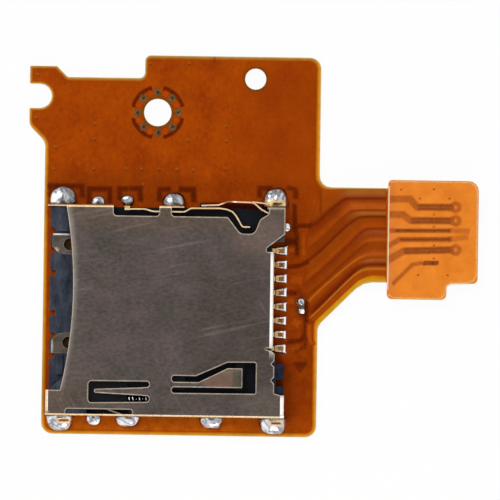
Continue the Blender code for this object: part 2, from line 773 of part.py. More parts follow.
def make_shell():
    bottom = SEAT + WALL_GAP
    shell = prism("shell", channel(SHELL_HALF, SHELL_TOP, bottom, SHEET + BEND), SHELL_LEFT, SHELL_RIGHT, "X")
    hollow = prism(
        "shell_hollow", channel(WALL_INNER, ROOF, 0, BEND), SHELL_LEFT - SHEET, SHELL_RIGHT + SHEET, "X"
    )
    cut(shell, hollow, *window_tools())

    rear = folded_flange("rear_flange", FLANGE_X, 1, FLANGE_SPAN, SEAT + FLANGE_GAP)
    corner = (SHEET + BEND - SHELL_HALF + FIT, 1.67e-3 - WALL_INNER)
    right = folded_flange("corner_flange", SHELL_RIGHT, 1, corner, bottom)
    left = folded_flange("entry_flange", SHELL_LEFT, -1, (corner[0], CORNER_PLATE_Y), SEAT + FLANGE_GAP)

    lap = 3 * SHEET
    narrow = leaf(
        "narrow_finger",
        rounded([
            (NARROW_X + lap, NARROW_Y + NARROW_ROOT / 2 - BOND, 0),
            (NARROW_TIP, NARROW_Y + 0.15e-3, 0.13e-3),
            (NARROW_TIP, NARROW_Y - 0.15e-3, 0.13e-3),
            (NARROW_X + lap, NARROW_Y - NARROW_ROOT / 2 + BOND, 0),
        ]),
        ROOF,
        SHELL_TOP,
        [(NARROW_TIP, -NARROW_DROP), (NARROW_X, 0)],
    )
    wide = leaf(
        "wide_finger",
        rounded([
            (WIDE_X - lap, PIN_Y + WIDE_WIDTH / 2, 0),
            (WIDE_X + 1.47e-3, PIN_Y + WIDE_WIDTH / 2, 0.1e-3),
            (WIDE_TIP - 1.14e-3, PIN_Y + 1.34e-3, 0.1e-3),
            (WIDE_TIP, PIN_Y + 1.34e-3, 0.08e-3),
            (WIDE_TIP, PIN_Y - WIDE_WIDTH / 2, 0.08e-3),
            (WIDE_X - lap, PIN_Y - WIDE_WIDTH / 2, 0),
        ]),
        ROOF,
        SHELL_TOP,
        [(WIDE_X + SHEET, 0), (WIDE_BEND, -0.4 * WIDE_DROP), (WIDE_TIP, -WIDE_DROP)],
    )
    path = rounded(
        [
            (TONGUE_ROOT + SHEET, SHEET / 2 - SHELL_HALF, 0),
            (TONGUE_ROOT, SHEET / 2 - SHELL_HALF, SHEET),
            (TONGUE_BEND, TONGUE_Y, SHEET),
            (TONGUE_TIP, TONGUE_Y, 0),
        ],
        closed=False,
    )
    tongue = prism("side_tongue", ribbon(path, 0.7 * SHEET), *TONGUE_Z)
    join(shell, rear, right, left, narrow, wide, tongue)

    for number, (side, x, folded, _, _) in enumerate(FEET, 1):
        half = FOOT_WIDTH / 2
        wall = sorted((side * WALL_INNER, side * SHELL_HALF))
        leg = block(f"leg_{number}", (x - half, x + half), wall, (SEAT, bottom + SHEET))
        join(shell, leg)
        if folded:
            out = sorted((side * (WALL_INNER + SHEET / 4), side * (SHELL_HALF + FOOT_REACH)))
            join(shell, block(f"foot_{number}", (x - half, x + half), out, (SEAT, SEAT + SHEET)))
    finish(material("satin_steel", (0.36, 0.33, 0.30), 0.35, 1), shell)


def make_joints():
    """The solder against each of the shell's feet and over each contact's tail."""
    solder = material("solder", (0.75, 0.76, 0.78), 0.25, 1)
    for number, (side, x, folded, width, reach) in enumerate(FEET, 1):
        name = f"shell_solder_{number}"
        made = bead(
            name, x, side * (SHELL_HALF + BOND), (width / 2, reach), 0.45 * width, SOLDER_BASE, side
        )
        if folded:
            half = FOOT_WIDTH / 2 + BOND
            span = sorted((side * (SHELL_HALF - SHEET), side * (SHELL_HALF + FOOT_REACH + BOND)))
            cut(made, block(f"{name}_foot", (x - half, x + half), span, (0, SEAT + SHEET + BOND)))
        finish(solder, made)
    for number in range(1, CONTACT_COUNT + 1):
        y = contact_y(number)
        half = CONTACT_WIDTH / 2 + BOND
        made = bead(
            f"tail_solder_{number}",
            (FLANGE_X + TAIL_END) / 2 + 2 * FIT,
            y,
            (TAIL_LENGTH, CONTACT_WIDTH),
            0.30e-3,
            SOLDER_BASE,
            flare=0.2,
        )
        cut(made, block(
            f"tail_{number}_room",
            (REAR_STOP, TAIL_END + BOND),
            (y - half, y + half),
            (0, SEAT + CONTACT_SHEET + BOND),
        ))
        finish(solder, made)


def contact_y(number):
    return CONTACT_CENTRE + ((CONTACT_COUNT + 1) / 2 - number) * CONTACT_PITCH


def make_contacts():
    """Each contact is one strip: a tail, a beam that slopes up, and a crest that the card presses."""
    middle = CONTACT_SHEET / 2
    crest = CARD_PLANE + CONTACT_LIFT - middle
    path = rounded(
        [
            (TAIL_END, SEAT + middle, 0),
            (REAR_STOP - FIT, SEAT + middle, 1e-3),
            (CONTACT_CREST_X, crest, 0.4e-3),
            (CONTACT_CREST_X - CONTACT_TIP, crest - CONTACT_TIP / 2, 0),
        ],
        closed=False,
    )
    outline = ribbon(path, CONTACT_SHEET)
    gold = material("contact_gold", (0.83, 0.60, 0.30), 0.3, 1)
    first = prism("contact_1", outline, -CONTACT_WIDTH / 2, CONTACT_WIDTH / 2, "Y")
    finish(gold, first)
    for number in range(1, CONTACT_COUNT + 1):
        one = first if number == 1 else bpy.data.objects.new(f"contact_{number}", first.data)
        if number > 1:
            bpy.context.scene.collection.objects.link(one)
        one.location.y = contact_y(number)


def detect_parts():
    """The feet of the switch's strips: the spring's runs out over the board, the fixed one's to the rear."""
    low = FLOOR_TOP + DETECT_LIFT
    root_x, root_y = SPRING_PATH[0][0], HOUSING_HALF + SPRING_PATH[0][1]
    end_x, end_y = FIXED_PATH[-1][0], HOUSING_HALF + FIXED_PATH[-1][1]
    half = DETECT_FOOT / 2
    spring_foot = ((root_x, root_x + DETECT_FOOT), (root_y - DETECT_SHEET / 2, SHELL_HALF + FOOT_REACH))
    fixed_foot = ((end_x - DETECT_SHEET / 2, TAIL_END + DETECT_SHEET), (end_y, end_y + DETECT_TAIL))
    start_x, start_y = FIXED_PATH[0][0], HOUSING_HALF + FIXED_PATH[0][1]
    fixed_leg = ((start_x, start_x + 2 * half), (start_y - DETECT_SHEET / 2, start_y + DETECT_SHEET / 2))
    return low, spring_foot, fixed_foot, fixed_leg


def grown(span, gap=FIT):
    return (span[0] - gap, span[1] + gap)


def strip_outline(path, width):
    """The plan outline of one of the switch's strips, as wide as its sheet or as the room it needs."""
    return ribbon(rounded([(x, HOUSING_HALF + y, turn) for x, y, turn in path], closed=False), width)


def make_detect_switch():
    low, spring_foot, fixed_foot, fixed_leg = detect_parts()
    gold = material("switch_gold", (0.83, 0.62, 0.34), 0.3, 1)
    foot_z = (SEAT, SEAT + DETECT_SHEET)

    spring = prism("detect_spring", strip_outline(SPRING_PATH, DETECT_SHEET), low, low + DETECT_HEIGHT)
    leg_y = (spring_foot[1][0], spring_foot[1][0] + DETECT_SHEET)
    join(
        spring,
        block("spring_leg", spring_foot[0], leg_y, (SEAT, low + 2 * DETECT_SHEET)),
        block("spring_foot", spring_foot[0], spring_foot[1], foot_z),
    )

    fixed = prism("detect_contact", strip_outline(FIXED_PATH, DETECT_SHEET), low, low + DETECT_HEIGHT)
    leg_x = (fixed_foot[0][0], fixed_foot[0][0] + DETECT_SHEET)
    join(
        fixed,
        block("fixed_leg", fixed_leg[0], fixed_leg[1], (SEAT + DETECT_SHEET, low + 2 * DETECT_SHEET)),
        block("rear_leg", leg_x, fixed_foot[1], (SEAT, low + 2 * DETECT_SHEET)),
        block("rear_foot", fixed_foot[0], fixed_foot[1], foot_z),
    )
    finish(gold, spring, fixed)

    solder = material("switch_solder", (0.75, 0.76, 0.78), 0.25, 1)
    top = SEAT + DETECT_SHEET + BOND
    places = (
        ("detect_spring", sum(spring_foot[0]) / 2, spring_foot[1][1] - DETECT_FOOT / 2, 0.42e-3, spring_foot),
        ("detect_contact", fixed_foot[0][1], sum(fixed_foot[1]) / 2, 0.23e-3, fixed_foot),
    )
    for name, x, y, radius, foot in places:
        made = bead(f"{name}_solder", x, y, (radius, radius), radius, SOLDER_BASE)
        cut(made, block(f"{name}_room", grown(foot[0], BOND), grown(foot[1], BOND), (0, top)))
        finish(solder, made)


def boss_circle():
    """The section, in y and z, of the bosses that the coil spring's ends sit on."""
    return circle(SPRING_Y, SPRING_Z, SPRING_DIAMETER - 2 * SPRING_WIRE - 4 * FIT, 10)


def make_housing():
    """The base: a floor, the walls that guide the card, the slider's channel, and pockets for every strip."""
    half = HOUSING_HALF
    rear = REAR_STOP + REAR_WALL
    ear = EAR_X - FIT
    block_end = REAR_BLOCK_X + REAR_BLOCK
    corner = SHELL_RIGHT - SHEET - FIT
    rear_front = REAR_BLOCK_WIDTH - half
    corner_back = CORNER_BLOCK - half
    ear_y = half - EAR_BLOCK
    outline = [
        (HOUSING_LEFT, half),
        (ear, half),
        (ear, ear_y),
        (rear, ear_y),
        (rear, rear_front),
        (block_end, rear_front),
        (block_end, corner_back),
        (corner, corner_back),
        (corner, -half),
        (HOUSING_LEFT, -half),
    ]
    housing = prism("socket_housing", outline, SEAT, FLOOR_TOP)

    inner = SEAT + FLOOR / 2
    card_wall = CARD_EDGE + FIT
    channel_wall = SLIDER_OUTER - 4 * FIT
    front_stop = SLIDER_LEFT - FIT
    lug_back = INSERT_CENTRE + LUG_SPACING / 2 + LUG_WIDTH / 2 + 0.2e-3
    lug_end = HOUSING_LEFT + 0.1e-3 + LUG_LENGTH + FIT
    chamfer = 0.5e-3
    walls = [
        block("card_wall", (lug_end, 5.20e-3), (card_wall, card_wall + GUIDE_WALL), (inner, WALL_TOP)),
        block(
            "card_ledge",
            (lug_end, REAR_STOP + FIT),
            (card_wall - GUIDE_WALL, card_wall + FIT),
            (inner, CARD_PLANE),
        ),
        prism("entry_block", [
            (HOUSING_LEFT, half),
            (HOUSING_LEFT, lug_back + chamfer),
            (HOUSING_LEFT + chamfer, lug_back),
            (HOUSING_LEFT + ENTRY_BLOCK, lug_back),
            (lug_end + FIT, card_wall + GUIDE_WALL / 2),
            (lug_end + 1e-3, card_wall + GUIDE_WALL / 2),
            (lug_end + 1e-3, half),
        ], inner, WALL_TOP - 0.2e-3),
        prism("front_guide", [
            (HOUSING_LEFT, CORNER_PLATE_Y),
            (HOUSING_LEFT + ENTRY_BLOCK, CARD_WIDE_Y - FIT),
            (front_stop, CARD_WIDE_Y - FIT),
            (front_stop, -half),
            (HOUSING_LEFT, -half),
        ], inner, WALL_TOP),
        block(
            "entry_rib",
            (HOUSING_LEFT + 0.59e-3, HOUSING_LEFT + 1.07e-3),
            (CARD_WIDE_Y + 0.05e-3, CARD_NARROW_Y + 0.35e-3),
            (inner, CARD_PLANE),
        ),
        block(
            "pivot_block",
            (PIVOT_BLOCK_X, PIVOT_BLOCK_X + PIVOT_BLOCK),
            (HEART_Y, CARD_NARROW_Y - FIT),
            (inner, SLIDER_TOP),
        ),
        block("spring_wall", (TONGUE_ROOT + 3 * SHEET, block_end), (-half, channel_wall), (inner, WALL_TOP)),
        block("rear_wall", (REAR_STOP, rear), (rear_front, card_wall + GUIDE_WALL), (inner, WALL_TOP)),
        block("rear_block", (REAR_BLOCK_X, block_end), (-half, rear_front + FIT), (inner, WALL_TOP)),
        block("corner_block", (REAR_BLOCK_X, corner), (-half, corner_back), (inner, WALL_TOP)),
        block("ear_block", (rear - FIT, ear), (ear_y, half), (inner, WALL_TOP)),
    ]
    for number, (front, back) in enumerate(POSTS, 1):
        span = (front - half, back - half)
        walls.append(block(f"post_{number}", (block_end - FIT, POST_END), span, (SEAT, WALL_TOP - SHEET)))
    low, spring_foot, fixed_foot, fixed_leg = detect_parts()
    walls.append(block(
        "switch_shelf",
        grown(fixed_leg[0], 0.13e-3),
        (half - FIT, fixed_leg[1][1] + 0.13e-3),
        (SEAT, FLOOR_TOP),
    ))
    boss = prism("spring_boss", boss_circle(), REAR_BLOCK_X - SPRING_BOSS, REAR_BLOCK_X + FIT, "X")
    join(housing, *walls, boss)

    holes = [
        block("insert_recess", *insert_body(FIT)),
        *[prism(f"lug_recess_{n}", insert_lug(n, FIT), *insert_depth(FIT)) for n in (1, 2)],
        *[
            prism(f"pilot_hole_{n}", circle(PILOT_X, lug_y(n), PILOT_HOLE), 0, WALL_TOP)
            for n in (1, 2)
        ],
        block("spring_leg_room", grown(spring_foot[0]), grown(spring_foot[1]), (0, low)),
        block(
            "fixed_leg_room",
            grown(fixed_leg[0]),
            grown(fixed_leg[1]),
            (SEAT + DETECT_SHEET - FIT, SHELL_TOP),
        ),
        prism("fixed_strip_room", strip_outline(FIXED_PATH, DETECT_SHEET + 2 * FIT), low - FIT, SHELL_TOP),
        block(
            "rear_leg_room",
            (fixed_foot[0][0] - FIT, fixed_foot[0][0] + DETECT_SHEET + FIT),
            grown(fixed_foot[1]),
            (0, SHELL_TOP),
        ),
        block(
            "rear_foot_room",
            grown(fixed_foot[0]),
            grown(fixed_foot[1]),
            (0, SEAT + DETECT_SHEET + FIT),
        ),
    ]
    for number, offset in enumerate(NOTCHES, 1):
        y = INSERT_CENTRE + offset
        holes.append(block(
            f"front_notch_{number}",
            (HOUSING_LEFT - FIT, HOUSING_LEFT + NOTCH_CUT),
            (y - NOTCH_WIDTH / 2, y + NOTCH_WIDTH / 2),
            (0, FLOOR_TOP + FIT),
        ))
    for number in range(1, CONTACT_COUNT + 1):
        y = contact_y(number)
        wide = SLOT_WIDTH / 2
        tight = CONTACT_WIDTH / 2 + BOND
        holes.append(block(
            f"beam_slot_{number}",
            (CONTACT_CREST_X - CONTACT_TIP - 0.3e-3, REAR_STOP - 0.1e-3),
            (y - wide, y + wide),
            (0, WALL_TOP),
        ))
        holes.append(block(
            f"tail_slot_{number}",
            (REAR_STOP - 0.2e-3, rear + FIT),
            (y - tight, y + tight),
            (0, SEAT + CONTACT_SHEET + BOND),
        ))
    pin_hole = circle(PIVOT_X, PIN_Y, PIN_WIRE + 2 * FIT, 12)
    holes.append(prism("pin_hole", pin_hole, SLIDER_TOP - PIN_LEG - FIT, SHELL_TOP))
    cut(housing, *holes)
    finish(material("navy_moulding", (0.020, 0.027, 0.045), 0.45, 0), housing)


def lug_y(number):
    return INSERT_CENTRE + (1.5 - number) * LUG_SPACING


def insert_depth(gap):
    high = FLOOR_TOP - FIT
    return high - INSERT_SHEET - gap, high + 4 * gap


def insert_body(gap):
    """The plate's (x, y, z) spans under the card, made larger by the gap for its recess."""
    return (
        grown((HOUSING_LEFT + LUG_LENGTH, INSERT_END), gap),
        grown((lug_y(2), lug_y(1)), gap),
        insert_depth(gap),
    )


def insert_lug(number, gap):
    """The plan of one of the plate's lugs, its inner front corner cut off beside the moulding's notch."""
    side = 1 if number == 1 else -1
    y = lug_y(number)
    left = HOUSING_LEFT + 0.15e-3 - gap
    right = HOUSING_LEFT + LUG_LENGTH + SHEET
    outer = y + side * (LUG_WIDTH / 2 + gap)
    inner = y - side * (LUG_WIDTH / 2 + gap)
    return [
        (left, outer),
        (left, inner + side * 0.68e-3),
        (left + 0.50e-3, inner + side * 0.15e-3),
        (right, inner),
        (right, outer),
    ]


def make_insert():
    """The sheet under the card: a plate with two lugs at the entry, each with a pilot hole."""
    plate = block("insert_plate", *insert_body(0))
    for number in (1, 2):
        join(plate, prism(f"lug_{number}", insert_lug(number, 0), *insert_depth(0)))
    for number in (1, 2):
        hole = circle(PILOT_X, lug_y(number), PILOT_HOLE)
        cut(plate, prism(f"lug_hole_{number}", hole, 0, SHELL_TOP))
    finish(material("insert_steel", (0.42, 0.38, 0.34), 0.35, 1), plate)


def pin_tip(travel):
    """Where the pin's moving end stands over the slider, once the slider has gone this far in."""
    swing = math.radians(PIN_SWING) * travel / TRAVEL
    return (PIVOT_X - PIN_REACH * math.cos(swing) - travel, PIN_Y + PIN_REACH * math.sin(swing))


def make_slider():
    """The slider: a nose for the card to push, a groove for the pin, and an arm that seats the spring."""
    slider = prism("slider", [
        (SLIDER_LEFT, SLIDER_OUTER),
        (SPRING_X, SLIDER_OUTER),
        (SPRING_X, HEART_Y),
        (HEART_END, HEART_Y),
        (HEART_END, SLIDER_Y),
        (NOSE_X, SLIDER_Y),
        (NOSE_X, CARD_WIDE_Y - NARROW_GAP),
        (SLIDER_LEFT, CARD_WIDE_Y - NARROW_GAP),
    ], SLIDER_BOTTOM, SLIDER_TOP)
    join(slider, prism("slider_boss", boss_circle(), SPRING_X - FIT, SPRING_X + SPRING_BOSS, "X"))

    width = PIN_WIRE + GROOVE_PLAY
    way_in = [pin_tip(TRAVEL * step / 8) for step in range(9)]
    start, far = way_in[0], way_in[-1]
    lock = (far[0] + 2 * width, (far[1] + PIN_Y) / 2)
    back = (far[0] + width / 4, PIN_Y - width / 4)
    way_out = [far, lock, back, (start[0] - 3 * width, PIN_Y - width / 5), start]
    floor = SLIDER_TOP - GROOVE_DEPTH
    over = SLIDER_TOP + SHEET
    cut(slider, prism("groove_in", ribbon(way_in, width), floor, over))
    for number, (a, b) in enumerate(zip(way_out, way_out[1:]), 1):
        cut(slider, prism(f"groove_out_{number}", ribbon([a, b], width), floor, over))
    for number, (x, y) in enumerate((start, far, lock, back, way_out[3]), 1):
        cut(slider, prism(f"groove_turn_{number}", circle(x, y, width, 12), floor, over))

    latch_y = latch_path()[0][1]
    gap = LATCH_SHEET / 2 + BOND
    low = latch_span()[0]
    room = block(
        "latch_room",
        (SLIDER_LEFT - FIT, NOSE_X),
        (latch_y - 2 * gap, CARD_WIDE_Y),
        (low - FIT, over),
    )
    slot = block(
        "latch_slot",
        (NOSE_X - FIT, latch_path()[0][0] + BOND),
        (latch_y - gap, latch_y + gap),
        (low - BOND, over),
    )
    cut(slider, room, slot)
    finish(material("black_slider_plastic", (0.015, 0.016, 0.02), 0.4, 0), slider)
    set_origin(slider, (NOSE_X, SLIDER_Y, SLIDER_BOTTOM))


def latch_path():
    """The card-lock spring seen from above, from its root in the slider to its free end."""
    y = CARD_WIDE_Y - NARROW_GAP - LATCH_REACH
    return [
        (NOSE_X + 0.8e-3, y, 0),
        (NOSE_X - 0.9e-3, y, 0.3e-3),
        (NOSE_X - 1.5e-3, y + LATCH_REACH + LATCH_SHEET, 0.15e-3),
        (NOSE_X - 2.0e-3, y + LATCH_SHEET, 0),
    ]


def latch_span():
    return SLIDER_BOTTOM + 0.15e-3, SLIDER_TOP - 0.1e-3


def make_latch():
    outline = ribbon(rounded(latch_path(), closed=False), LATCH_SHEET)
    latch = prism("card_lock_spring", outline, *latch_span())
    finish(material("latch_steel", (0.55, 0.53, 0.50), 0.3, 1), latch)
    set_origin(latch, (NOSE_X, latch_path()[0][1], SLIDER_BOTTOM))


def make_pin():
    """The cam pin: a staple of round wire, one leg in the housing and one in the slider's groove."""
    turn = 0.8 * PIN_WIRE
    foot = SLIDER_TOP - PIN_LEG
    path = [
        (x, z)
        for x, z in rounded(
            [
                (PIVOT_X, foot, 0),
                (PIVOT_X, PIN_Z, turn),
                (PIVOT_X - PIN_REACH, PIN_Z, turn),
                (PIVOT_X - PIN_REACH, foot, 0),
            ],
            closed=False,
        )
    ]
    pin = wire("cam_pin", [(x, PIN_Y, z) for x, z in path], PIN_WIRE, 10)
    finish(material("pin_steel", (0.60, 0.58, 0.55), 0.25, 1), pin)
    set_origin(pin, (PIVOT_X, PIN_Y, PIN_Z))


def make_spring():
    """The coil spring, with a closed turn at each end and an even pitch between."""
    low = SPRING_X + FIT + SPRING_WIRE / 2
    high = REAR_BLOCK_X - FIT - SPRING_WIRE / 2
    closed = 1.1 * SPRING_WIRE
    pitch = (high - low - 2 * closed) / (SPRING_TURNS - 2)
    radius = (SPRING_DIAMETER - SPRING_WIRE) / 2
    steps = 10
    points = []
    for i in range(SPRING_TURNS * steps + 1):
        turn = i / steps
        first = min(turn, 1) * closed
        middle = min(max(turn - 1, 0), SPRING_TURNS - 2) * pitch
        last = max(turn - SPRING_TURNS + 1, 0) * closed
        angle = math.tau * turn
        points.append((
            low + first + middle + last,
            SPRING_Y + radius * math.cos(angle),
            SPRING_Z + radius * math.sin(angle),
        ))
    spring = wire("coil_spring", points, SPRING_WIRE, 6)
    finish(material("spring_steel", (0.62, 0.60, 0.57), 0.25, 1), spring)
    set_origin(spring, (REAR_BLOCK_X, SPRING_Y, SPRING_Z))


def make_chip():
    """The chip capacitor behind the contacts: a ceramic block with two metal caps, and its two fillets."""
    half = CHIP_WIDTH / 2
    base = (SEAT, SEAT + CHIP_WIDTH)
    rim = 0.02e-3
    chip = block(
        "chip_capacitor",
        (CHIP_X - half + rim, CHIP_X + half - rim),
        (CHIP_Y - CHIP_LENGTH / 2 + rim, CHIP_Y + CHIP_LENGTH / 2 - rim),
        (base[0] + rim, base[1] - rim),
    )
    for number, side in enumerate((1, -1), 1):
        end = CHIP_Y + side * CHIP_LENGTH / 2
        span = sorted((end, end - side * CHIP_CAP))
        join(chip, block(f"chip_cap_{number}", (CHIP_X - half, CHIP_X + half), span, base))
        fillet = bead(
            f"capacitor_solder_{number}",
            CHIP_X,
            end + side * BOND,
            (0.62 * CHIP_WIDTH, CHIP_CAP),
            0.9 * CHIP_WIDTH,
            SOLDER_BASE,
            side,
        )
        finish(material(f"capacitor_solder_{number}", (0.75, 0.76, 0.78), 0.25, 1), fillet)
    finish(material("chip_ceramic", (0.28, 0.20, 0.13), 0.4, 0), chip)


for old in list(bpy.data.objects):
    bpy.data.objects.remove(old)

make_board()
make_plug()
make_housing()
make_insert()
make_contacts()
make_detect_switch()
make_slider()
make_latch()
make_pin()
make_spring()
make_shell()
make_joints()
make_chip()
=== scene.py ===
"""The look of a small memory card socket on its flexible board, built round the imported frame."""

import math

import bmesh
import bpy
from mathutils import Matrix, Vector, noise
from mathutils.geometry import tessellate_polygon


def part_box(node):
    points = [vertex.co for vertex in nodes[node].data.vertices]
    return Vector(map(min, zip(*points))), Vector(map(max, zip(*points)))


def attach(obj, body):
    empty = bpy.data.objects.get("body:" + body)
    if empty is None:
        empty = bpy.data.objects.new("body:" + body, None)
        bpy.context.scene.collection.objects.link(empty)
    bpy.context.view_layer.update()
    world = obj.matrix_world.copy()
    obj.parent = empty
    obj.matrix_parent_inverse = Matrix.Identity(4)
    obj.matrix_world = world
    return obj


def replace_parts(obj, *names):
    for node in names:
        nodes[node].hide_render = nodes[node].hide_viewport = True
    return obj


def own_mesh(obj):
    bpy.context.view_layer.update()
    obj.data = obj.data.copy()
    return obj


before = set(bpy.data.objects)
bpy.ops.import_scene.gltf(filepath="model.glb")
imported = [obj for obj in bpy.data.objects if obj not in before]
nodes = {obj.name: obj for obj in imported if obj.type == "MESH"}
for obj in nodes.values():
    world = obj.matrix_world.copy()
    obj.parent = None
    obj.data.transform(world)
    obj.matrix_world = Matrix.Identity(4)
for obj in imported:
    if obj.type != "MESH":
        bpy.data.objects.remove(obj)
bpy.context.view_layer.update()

# Board stiffener: a plate of brown glass laminate, punched to the board's outline and glued under it.
# It shows from below, and as a thin line along the sides.


def tint(red, green, blue):
    """A colour given as it should look, from 0 to 255, as the linear colour that shaders take."""
    return (*[(c / 255) ** 2.2 for c in (red, green, blue)], 1)


def feed(tree, node, inputs):
    """Sets each of a node's inputs to a value, or links it to another node's output."""
    for name, value in inputs.items():
        if isinstance(value, bpy.types.NodeSocket):
            tree.links.new(value, node.inputs[name])
        else:
            node.inputs[name].default_value = value


def add(tree, kind, inputs=None, **settings):
    """A new node in the tree, with its settings and its inputs."""
    node = tree.nodes.new(f"ShaderNode{kind}")
    for name, value in settings.items():
        setattr(node, name, value)
    feed(tree, node, inputs or {})
    return node


def calculate(tree, operation, *values, kind="Math", **settings):
    """The first output of a node that calculates with the values."""
    return add(tree, kind, dict(enumerate(values)), operation=operation, **settings).outputs[0]


def mixed(tree, share, first, second, blend="MIX"):
    """The second colour, mixed into the first by its share."""
    colours = {0: share, 6: first, 7: second}
    return add(tree, "Mix", colours, data_type="RGBA", blend_type=blend).outputs[2]


def spread(tree, value, low, high):
    """How far the value has come from low to high, from 0 to 1."""
    return add(tree, "MapRange", {"Value": value, "From Min": low, "From Max": high}).outputs[0]


def clouds(tree, place, scale, detail=1.0, roughness=0.5, distortion=0.0):
    """Soft noise between 0 and 1."""
    inputs = {"Vector": place, "Scale": scale, "Detail": detail, "Roughness": roughness}
    return add(tree, "TexNoise", {**inputs, "Distortion": distortion}).outputs["Fac"]


def group(name, inputs, outputs):
    """An empty node group with its sockets, which the caller fills."""
    tree = bpy.data.node_groups.new(name, "ShaderNodeTree")
    for label, kind, value in inputs:
        socket = tree.interface.new_socket(label, in_out="INPUT", socket_type=f"NodeSocket{kind}")
        socket.default_value = value
    for label, kind in outputs:
        tree.interface.new_socket(label, in_out="OUTPUT", socket_type=f"NodeSocket{kind}")
    return tree, tree.nodes.new("NodeGroupInput").outputs, tree.nodes.new("NodeGroupOutput")


def make_mottle():
    """Two colours that run into each other in soft patches, with a finer grain over them."""
    inputs = [
        ("Dark", "Color", (0.2, 0.2, 0.2, 1)),
        ("Light", "Color", (0.6, 0.6, 0.6, 1)),
        ("Patch Size", "Float", 500.0),
        ("Grain Size", "Float", 4000.0),
        ("Grain Share", "Float", 0.3),
        ("Stretch", "Vector", (1, 1, 1)),
    ]
    tree, given, out = group("mottle", inputs, [("Color", "Color"), ("Height", "Float")])
    place = add(tree, "TexCoord").outputs["Object"]
    pulled = calculate(tree, "MULTIPLY", place, given["Stretch"], kind="VectorMath")
    patch = clouds(tree, pulled, given["Patch Size"], detail=3.0, roughness=0.55)
    grain = clouds(tree, pulled, given["Grain Size"], detail=2.0, roughness=0.6)
    both = add(tree, "Mix", {0: given["Grain Share"], 2: patch, 3: grain}).outputs[0]
    share = spread(tree, both, 0.34, 0.66)
    feed(tree, out, {"Color": mixed(tree, share, given["Dark"], given["Light"]), "Height": share})
    return tree


mottle = make_mottle()


def tones(tree, dark, light, patch=500.0, grain=4000.0, share=0.3, stretch=(1, 1, 1)):
    """The outputs of the mottle between two tones, placed in a material."""
    values = {
        "Dark": tint(*dark),
        "Light": tint(*light),
        "Patch Size": patch,
        "Grain Size": grain,
        "Grain Share": share,
        "Stretch": stretch,
    }
    return add(tree, "Group", values, node_tree=mottle).outputs


def shade(made, inputs):
    """Sets or feeds inputs of the material's own shader."""
    feed(made.node_tree, made.node_tree.nodes["Principled BSDF"], inputs)


def finish(name, dark, light, rough=0.4, metal=0.0, shine=0.3, bump=0.0, **pattern):
    """A material whose colour runs between two tones, with the same pattern as a slight relief."""
    made = bpy.data.materials.new(name)
    made.use_nodes = True
    colour = tones(made.node_tree, dark, light, **pattern)
    shade(made, {
        "Base Color": colour["Color"], "Roughness": rough, "Metallic": metal, "Specular IOR Level": shine,
    })
    if bump:
        relief = {"Height": colour["Height"], "Strength": 0.5, "Distance": bump}
        shade(made, {"Normal": add(made.node_tree, "Bump", relief).outputs[0]})
    return made


def dress(names, look):
    """The CAD nodes' own meshes, given a finish."""
    for name in names:
        nodes[name].data.materials.clear()
        nodes[name].data.materials.append(look)


laminate = finish(
    "brown_laminate", (116, 64, 24), (134, 78, 32), rough=0.55, bump=4e-6, patch=2600, grain=9000, share=0.45
)
dress(["board_stiffener"], laminate)

# Flexible board: a sheet of amber polyimide with etched copper under a cover film. The copper stops
# short of the edge, so the bare film shows there, and the glow of its rim is painted light in its colour.

MM = 0.001
FILM_SHINE = 0.03
HALF_TURN = [math.pi * i / 12 for i in range(13)]
NOTCH = [(-10.08 + 0.96 * math.sin(t), 16.83 - 0.96 * math.cos(t)) for t in HALF_TURN]
# Each row is a corner's x and y, its radius, and how far the rim reaches in along the edge that
# starts there, all in millimetres, and then the rim's tone: 0 is olive, 1 orange and 2 yellow.
BOARD = [
    (-9.60, -9.80, 0.90, 0.34, 0.90),
    (-9.60, 13.22, 0.90, 0.34, 0.70),
    (-10.88, 14.50, 0.90, 0.26, 0.60),
    (-10.88, 15.87, 0.10, 0.22, 0.50),
    *[(x, y, 0, 0.22, 0.50) for x, y in NOTCH],
    (-10.88, 17.79, 0.10, 0.26, 0.40),
    (-10.88, 19.20, 0.10, 0.24, 0.25),
    (-8.75, 19.20, 0.15, 0.26, 0.25),
    (-7.90, 18.35, 0.30, 0.30, 0.20),
    (-1.80, 18.35, 0.45, 0.26, 0.25),
    (-1.80, 20.15, 0.45, 0.32, 0.10),
    (12.10, 20.15, 0.90, 0.40, 1.00),
    (12.10, 9.95, 0.90, 0.34, 0.10),
    (17.46, 9.95, 0, 0.03, 0.50),
    (17.46, 2.50, 0, 0.60, 2.00),
    (15.60, 2.50, 1.80, 0.54, 2.00),
    (12.10, -1.00, 0.90, 0.38, 1.00),
    (12.10, -9.80, 0.90, 0.36, 1.10),
]
SMALLEST_RADIUS = 0.05
ARC_STEP = 0.25
# Each hole's x, y and radius.
SCREW_HOLE = (-0.76, 15.65, 1.085)
LOCATING_HOLE = (6.93, 18.40, 0.835)
FILM_TOP = 0.47
# Steps of the neck, as x and how far the film has climbed there.
NECK_RISE = [(12.55 + 0.4725 * i, 0.51 * (i / 10) ** 2 * (3 - 2 * i / 10)) for i in range(11)]


def lie(x):
    """How high the film's upper face lies at x, in millimetres: flat, then up the neck to the tab."""
    if x <= NECK_RISE[0][0]:
        return FILM_TOP
    for (x0, z0), (x1, z1) in zip(NECK_RISE, NECK_RISE[1:]):
        if x <= x1:
            return FILM_TOP + z0 + (z1 - z0) * (x - x0) / (x1 - x0)
    return FILM_TOP + NECK_RISE[-1][1]


